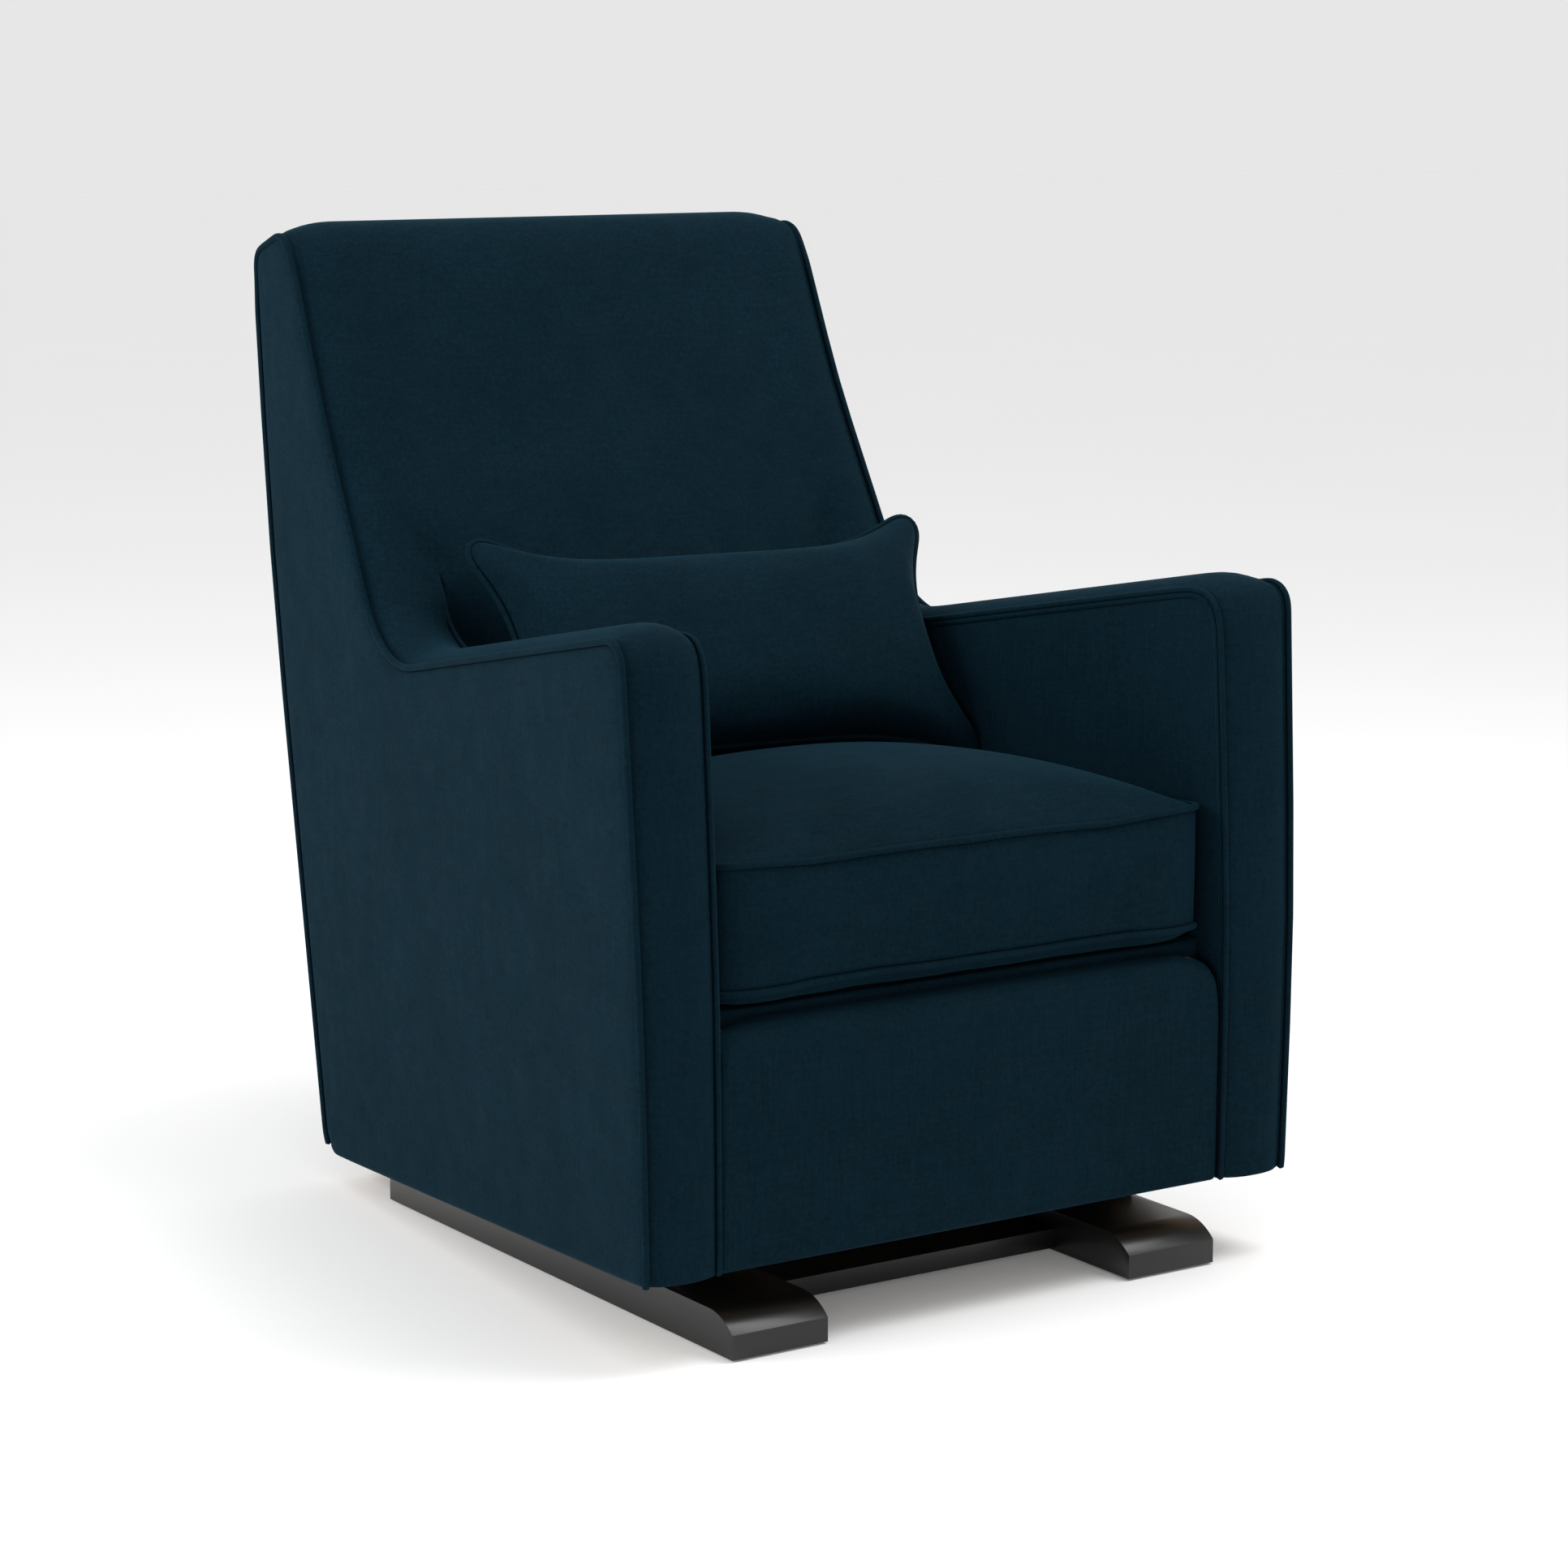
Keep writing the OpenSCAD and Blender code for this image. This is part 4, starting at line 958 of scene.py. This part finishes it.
def velvet(name, tint):
    """Short-pile velvet: a deep colour, a soft sheen, upright nap streaks, a fine weave, and painted shade
    that darkens its creases.
    """
    n = Nodes(name)
    deep, pale = shades(tint, 0.86, 1.12)
    nap = n.noise(7, detail=5, roughness=0.7)
    colour = n.ramp(nap, [(0.25, deep), (0.5, tint), (0.78, pale)])
    streaks = n.noise(16, detail=5, roughness=0.75, stretch=(24, 24, 1.4))
    colour = n.times(colour, n.grey(streaks, 0.84, 1.15))
    slubs = n.noise(16, detail=4, roughness=0.7, stretch=(2, 2, 26))
    colour = n.times(colour, n.grey(slubs, 0.9, 1.1))
    flecks = n.noise(260, detail=2, roughness=0.6)
    colour = n.times(colour, n.grey(flecks, 0.84, 1.14))
    # Painted shade: an ambient occlusion lookup darkens the colour in creases, beside welts and where pieces
    # meet.
    painted_crease_shade = n.add("ShaderNodeAmbientOcclusion", samples=6)
    painted_crease_shade.inputs["Distance"].default_value = PAINTED_CREASE_SHADE_REACH
    colour = n.times(colour, n.ramp(painted_crease_shade.outputs["AO"], [(0.3, (0.12,) * 3), (0.78, (1.0,) * 3)]))
    n.link(colour, n.shader.inputs["Base Color"])
    rough = n.noise(30, detail=3)
    n.link(n.grey(rough, 0.72, 0.9), n.shader.inputs["Roughness"])
    pile = n.noise(1500, detail=2, roughness=0.6)
    weave = n.noise(420, detail=3, roughness=0.65, stretch=(1, 1, 1.7))
    crush = n.noise(26, detail=4, roughness=0.55)
    normal = n.bump(crush, 0.18, 0.004)
    normal = n.bump(weave, 0.28, 0.0009, normal)
    normal = n.bump(pile, 0.25, 0.0004, normal)
    n.link(normal, n.shader.inputs["Normal"])
    n.shader.inputs["Sheen Weight"].default_value = 0.08
    n.shader.inputs["Sheen Roughness"].default_value = 0.35
    n.shader.inputs["Sheen Tint"].default_value = (0.12, 0.42, 0.6, 1)
    n.shader.inputs["Specular IOR Level"].default_value = 0.02
    return n.material


def plain_cloth(name, tint, scale=700):
    """Plain woven cloth with crossed threads."""
    n = Nodes(name)
    warp = n.noise(scale, detail=2, stretch=(1, 0.08, 0.08))
    weft = n.noise(scale, detail=2, stretch=(0.08, 1, 1))
    shade = n.times(n.grey(warp, 0.75, 1.15), n.grey(weft, 0.8, 1.15))
    dark, light = shades(tint, 0.8, 1.2)
    base = n.ramp(n.noise(12), [(0.2, dark), (0.8, light)])
    n.link(n.times(base, shade), n.shader.inputs["Base Color"])
    n.link(n.grey(warp, 0.8, 0.95), n.shader.inputs["Roughness"])
    n.link(n.bump(shade, 0.4, 0.0006), n.shader.inputs["Normal"])
    n.shader.inputs["Specular IOR Level"].default_value = 0.2
    return n.material


def wood(name, tint, grain, roughness, along=1, coat=0.0, contrast=0.35):
    """Wood with grain along one axis, bare or lacquered."""
    n = Nodes(name)
    stretch = [grain, grain, grain]
    stretch[along] = grain * 0.05
    rings = n.noise(3.2, detail=6, roughness=0.62, stretch=tuple(stretch))
    pores = n.noise(30, detail=3, roughness=0.7, stretch=tuple(4 * s for s in stretch))
    dark, light = shades(tint, 1 - contrast, 1 + contrast)
    colour = n.ramp(rings, [(0.3, dark), (0.52, tint), (0.72, light)])
    colour = n.times(colour, n.grey(pores, 0.82, 1.08))
    n.link(colour, n.shader.inputs["Base Color"])
    n.link(n.grey(pores, roughness * 1.12, roughness * 0.9), n.shader.inputs["Roughness"])
    normal = n.bump(rings, 0.12, 0.0012)
    normal = n.bump(pores, 0.16, 0.0005, normal)
    n.link(normal, n.shader.inputs["Normal"])
    n.shader.inputs["Coat Weight"].default_value = coat
    n.shader.inputs["Coat Roughness"].default_value = 0.2
    n.shader.inputs["Specular IOR Level"].default_value = 0.4
    return n.material


def plies(name, tint):
    """Plywood: pale veneer with grain, and thin darker plies through its thickness."""
    n = Nodes(name)
    rings = n.noise(2.6, detail=6, roughness=0.6, stretch=(20, 3, 3))
    dark, light = shades(tint, 0.78, 1.12)
    colour = n.ramp(rings, [(0.3, dark), (0.7, light)])
    layers = n.add("ShaderNodeTexWave", wave_type="BANDS", bands_direction="X")
    layers.inputs["Scale"].default_value = 130
    layers.inputs["Distortion"].default_value = 0.6
    n.link(n.place, layers.inputs["Vector"])
    colour = n.times(colour, n.grey(layers.outputs["Fac"], 0.86, 1.04))
    n.link(colour, n.shader.inputs["Base Color"])
    n.link(n.grey(rings, 0.62, 0.78), n.shader.inputs["Roughness"])
    n.link(n.bump(rings, 0.2, 0.0008), n.shader.inputs["Normal"])
    return n.material


def metal(name, tint, roughness, metallic, grain=400):
    """Steel: brushed, plated or powder coated."""
    n = Nodes(name)
    cloud = n.noise(40, detail=4)
    dark, light = shades(tint, 0.86, 1.08)
    colour = n.ramp(cloud, [(0.25, dark), (0.75, light)])
    n.link(colour, n.shader.inputs["Base Color"])
    fine = n.noise(grain, detail=3, roughness=0.6)
    n.link(n.grey(fine, roughness * 0.85, roughness * 1.2), n.shader.inputs["Roughness"])
    n.link(n.bump(fine, 0.15, 0.0003), n.shader.inputs["Normal"])
    n.shader.inputs["Metallic"].default_value = metallic
    return n.material


def moulded(name, tint, roughness):
    """Moulded nylon or rubber with a fine texture."""
    n = Nodes(name)
    fine = n.noise(600, detail=2)
    dark, light = shades(tint, 0.8, 1.2)
    colour = n.ramp(n.noise(50), [(0.2, dark), (0.8, light)])
    n.link(colour, n.shader.inputs["Base Color"])
    n.link(n.grey(fine, roughness * 0.9, roughness * 1.1), n.shader.inputs["Roughness"])
    n.link(n.bump(fine, 0.2, 0.0003), n.shader.inputs["Normal"])
    return n.material


VELVET = (0.0029, 0.0122, 0.0197)
materials = {
    "velvet": velvet("velvet", VELVET),
    "welt_velvet": velvet("welt_velvet", shades(VELVET, 0.98)[0]),
    "black_cloth": plain_cloth("black_cloth", (0.02, 0.022, 0.025)),
    "foam": plain_cloth("foam", (0.8, 0.73, 0.55), 250),
    "black_wood": wood("black_wood", (0.0044, 0.0043, 0.0042), 16, 0.36, coat=0.16, contrast=0.3),
    "pine": wood("pine", (0.62, 0.43, 0.23), 12, 0.62, along=0),
    "plywood": plies("plywood", (0.6, 0.42, 0.24)),
    "black_steel": metal("black_steel", (0.02, 0.02, 0.022), 0.42, 0.0),
    "zinc_steel": metal("zinc_steel", (0.62, 0.63, 0.64), 0.3, 1.0),
    "spring_steel": metal("spring_steel", (0.22, 0.22, 0.23), 0.38, 1.0),
    "nylon": moulded("nylon", (0.03, 0.03, 0.032), 0.5),
    "stop_rubber": moulded("stop_rubber", (0.016, 0.016, 0.016), 0.75),
}


def finish_piece(obj, slot, body=CHAIR, stands_for=()):
    """Material, slot and body of one visible piece, with the CAD parts it stands for hidden."""
    obj.data.materials.clear()
    obj.data.materials.append(materials[slot])
    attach(obj, body)
    if stands_for:
        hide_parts(*stands_for)


EASED_EDGE = 2.4 * MM


def eased(node, width):
    """A copy of a CAD node's shape with its hard edges rounded over."""
    bm = bmesh.new()
    bm.from_mesh(frame["nodes"][node].data)
    bmesh.ops.remove_doubles(bm, verts=bm.verts, dist=0.01 * MM)
    bmesh.ops.dissolve_limit(bm, angle_limit=math.radians(1.5), verts=bm.verts, edges=bm.edges)
    mesh = bpy.data.meshes.new(f"{node}_eased")
    bm.to_mesh(mesh)
    bm.free()
    obj = bpy.data.objects.new(f"{node}_eased", mesh)
    bpy.context.scene.collection.objects.link(obj)
    mod = obj.modifiers.new("eased edges", "BEVEL")
    mod.width = width
    mod.segments = 3
    mod.limit_method = "ANGLE"
    mod.angle_limit = math.radians(35)
    mod.harden_normals = True
    mesh.polygons.foreach_set("use_smooth", [True] * len(mesh.polygons))
    apply_modifiers(obj)
    return obj


def dress_cad():
    """The CAD nodes that stay get their materials."""
    slots = {row["node"]: row["material_slot"] for row in frame["record"]["subparts"]}
    for node, obj in frame["nodes"].items():
        slot = slots[node]
        obj.data.materials.clear()
        obj.data.materials.append(materials[slot])


# ---------------------------------------------------------------- stage
CAMERA_AZIMUTH, CAMERA_ELEVATION, CAMERA_DISTANCE = -33.77, 9.96, 3.978
CAMERA_TARGET = Vector((0.004, -0.0917, 0.443))
LENS_MM, SENSOR_MM = 94.5, 36


def make_camera():
    """The camera, low in front of the chair's left side."""
    camera = bpy.data.objects.new("camera", bpy.data.cameras.new("camera"))
    bpy.context.scene.collection.objects.link(camera)
    a, e = math.radians(CAMERA_AZIMUTH), math.radians(CAMERA_ELEVATION)
    back = Vector((math.sin(a) * math.cos(e), -math.cos(a) * math.cos(e), math.sin(e)))
    camera.location = CAMERA_TARGET + back * CAMERA_DISTANCE
    camera.rotation_mode = "QUATERNION"
    camera.rotation_quaternion = (-back).to_track_quat("-Z", "Y")
    camera.data.lens, camera.data.sensor_width = LENS_MM, SENSOR_MM
    bpy.context.scene.camera = camera


def area_light(name, at, look, size, power):
    """A white rectangular lamp that faces a point."""
    light = bpy.data.objects.new(name, bpy.data.lights.new(name, "AREA"))
    bpy.context.scene.collection.objects.link(light)
    light.data.shape = "RECTANGLE"
    light.data.size, light.data.size_y = size
    light.data.energy = power
    light.location = at
    light.rotation_mode = "QUATERNION"
    light.rotation_quaternion = (Vector(look) - Vector(at)).to_track_quat("-Z", "Y")


WORLD_LIGHT = 0.8
FLOOR_GLOW = 0.115           # share of the world's light that lifts the floor to the backdrop's tone


def make_stage():
    """A pale floor, a plain bright world and two soft lamps."""
    bpy.ops.mesh.primitive_plane_add(size=60, location=(0, 0, 0))
    floor = bpy.context.object
    floor.name = "floor"
    n = Nodes("floor")
    shade = n.noise(1.2, detail=2)
    n.link(n.ramp(shade, [(0.2, (0.875,) * 3), (0.8, (0.885,) * 3)]), n.shader.inputs["Base Color"])
    n.shader.inputs["Roughness"].default_value = 0.75
    n.shader.inputs["Specular IOR Level"].default_value = 0.05
    n.shader.inputs["Emission Color"].default_value = (1, 1, 1, 1)
    n.shader.inputs["Emission Strength"].default_value = WORLD_LIGHT * FLOOR_GLOW
    floor.data.materials.append(n.material)
    world = bpy.data.worlds.new("studio")
    bpy.context.scene.world = world
    world.use_nodes = True
    world.node_tree.nodes["Background"].inputs["Color"].default_value = (1, 1, 1, 1)
    world.node_tree.nodes["Background"].inputs["Strength"].default_value = WORLD_LIGHT
    bpy.context.scene.view_settings.view_transform = "Standard"
    area_light("key", at=(-3.8, 0.7, 2.0), look=(0, 0, 0.5), size=(2.4, 2.0), power=112)
    area_light("top", at=(1.1, -0.9, 3.2), look=(0, 0, 0.4), size=(1.8, 1.8), power=62)


# ---------------------------------------------------------------- assembly
make_camera()
make_stage()
dress_cad()
for node in ("left_skid", "right_skid", "front_cross_board", "rear_cross_board"):
    finish_piece(eased(node, EASED_EDGE), "black_wood", "base", (node,))
finish_piece(lining(), "velvet", stands_for=("left_arm_pad", "right_arm_pad", "inside_back"))
for tag, side in (("left", -1), ("right", 1)):
    outer = outer_panel(f"{tag}_side_cover", side)
    finish_piece(outer, "velvet", stands_for=(f"{tag}_side_panel",))
    inner = inner_arm_panel(f"{tag}_inner_arm_cover", side)
    finish_piece(inner, "velvet", stands_for=(f"{tag}_inner_arm",))
    finish_piece(side_welt(f"{tag}_side_welt", side), "welt_velvet", stands_for=("side_welts",))
    finish_piece(arm_welt(f"{tag}_arm_welt", side), "welt_velvet", stands_for=("arm_welts",))
finish_piece(crown_welt(), "welt_velvet")
finish_piece(apron_panel(), "velvet", stands_for=("front_apron",))
finish_piece(outside_back_panel(), "velvet", stands_for=("outside_back",))
finish_piece(deck_panel(), "black_cloth", stands_for=("seat_deck",))
dust_cloth = dust_panel()
finish_piece(dust_cloth, "black_cloth", stands_for=("dust_cover",))

cushion, cushion_welts = seat_cushion()
finish_piece(cushion, "velvet", "seat_cushion", ("seat_cushion_cover", "seat_cushion_foam"))
for welt in cushion_welts:
    finish_piece(welt, "welt_velvet", "seat_cushion")
pillow, pillow_welt = lumbar_pillow()
finish_piece(pillow, "velvet", "lumbar_pillow", ("lumbar_pillow_cover", "lumbar_pillow_fill"))
finish_piece(pillow_welt, "welt_velvet", "lumbar_pillow")
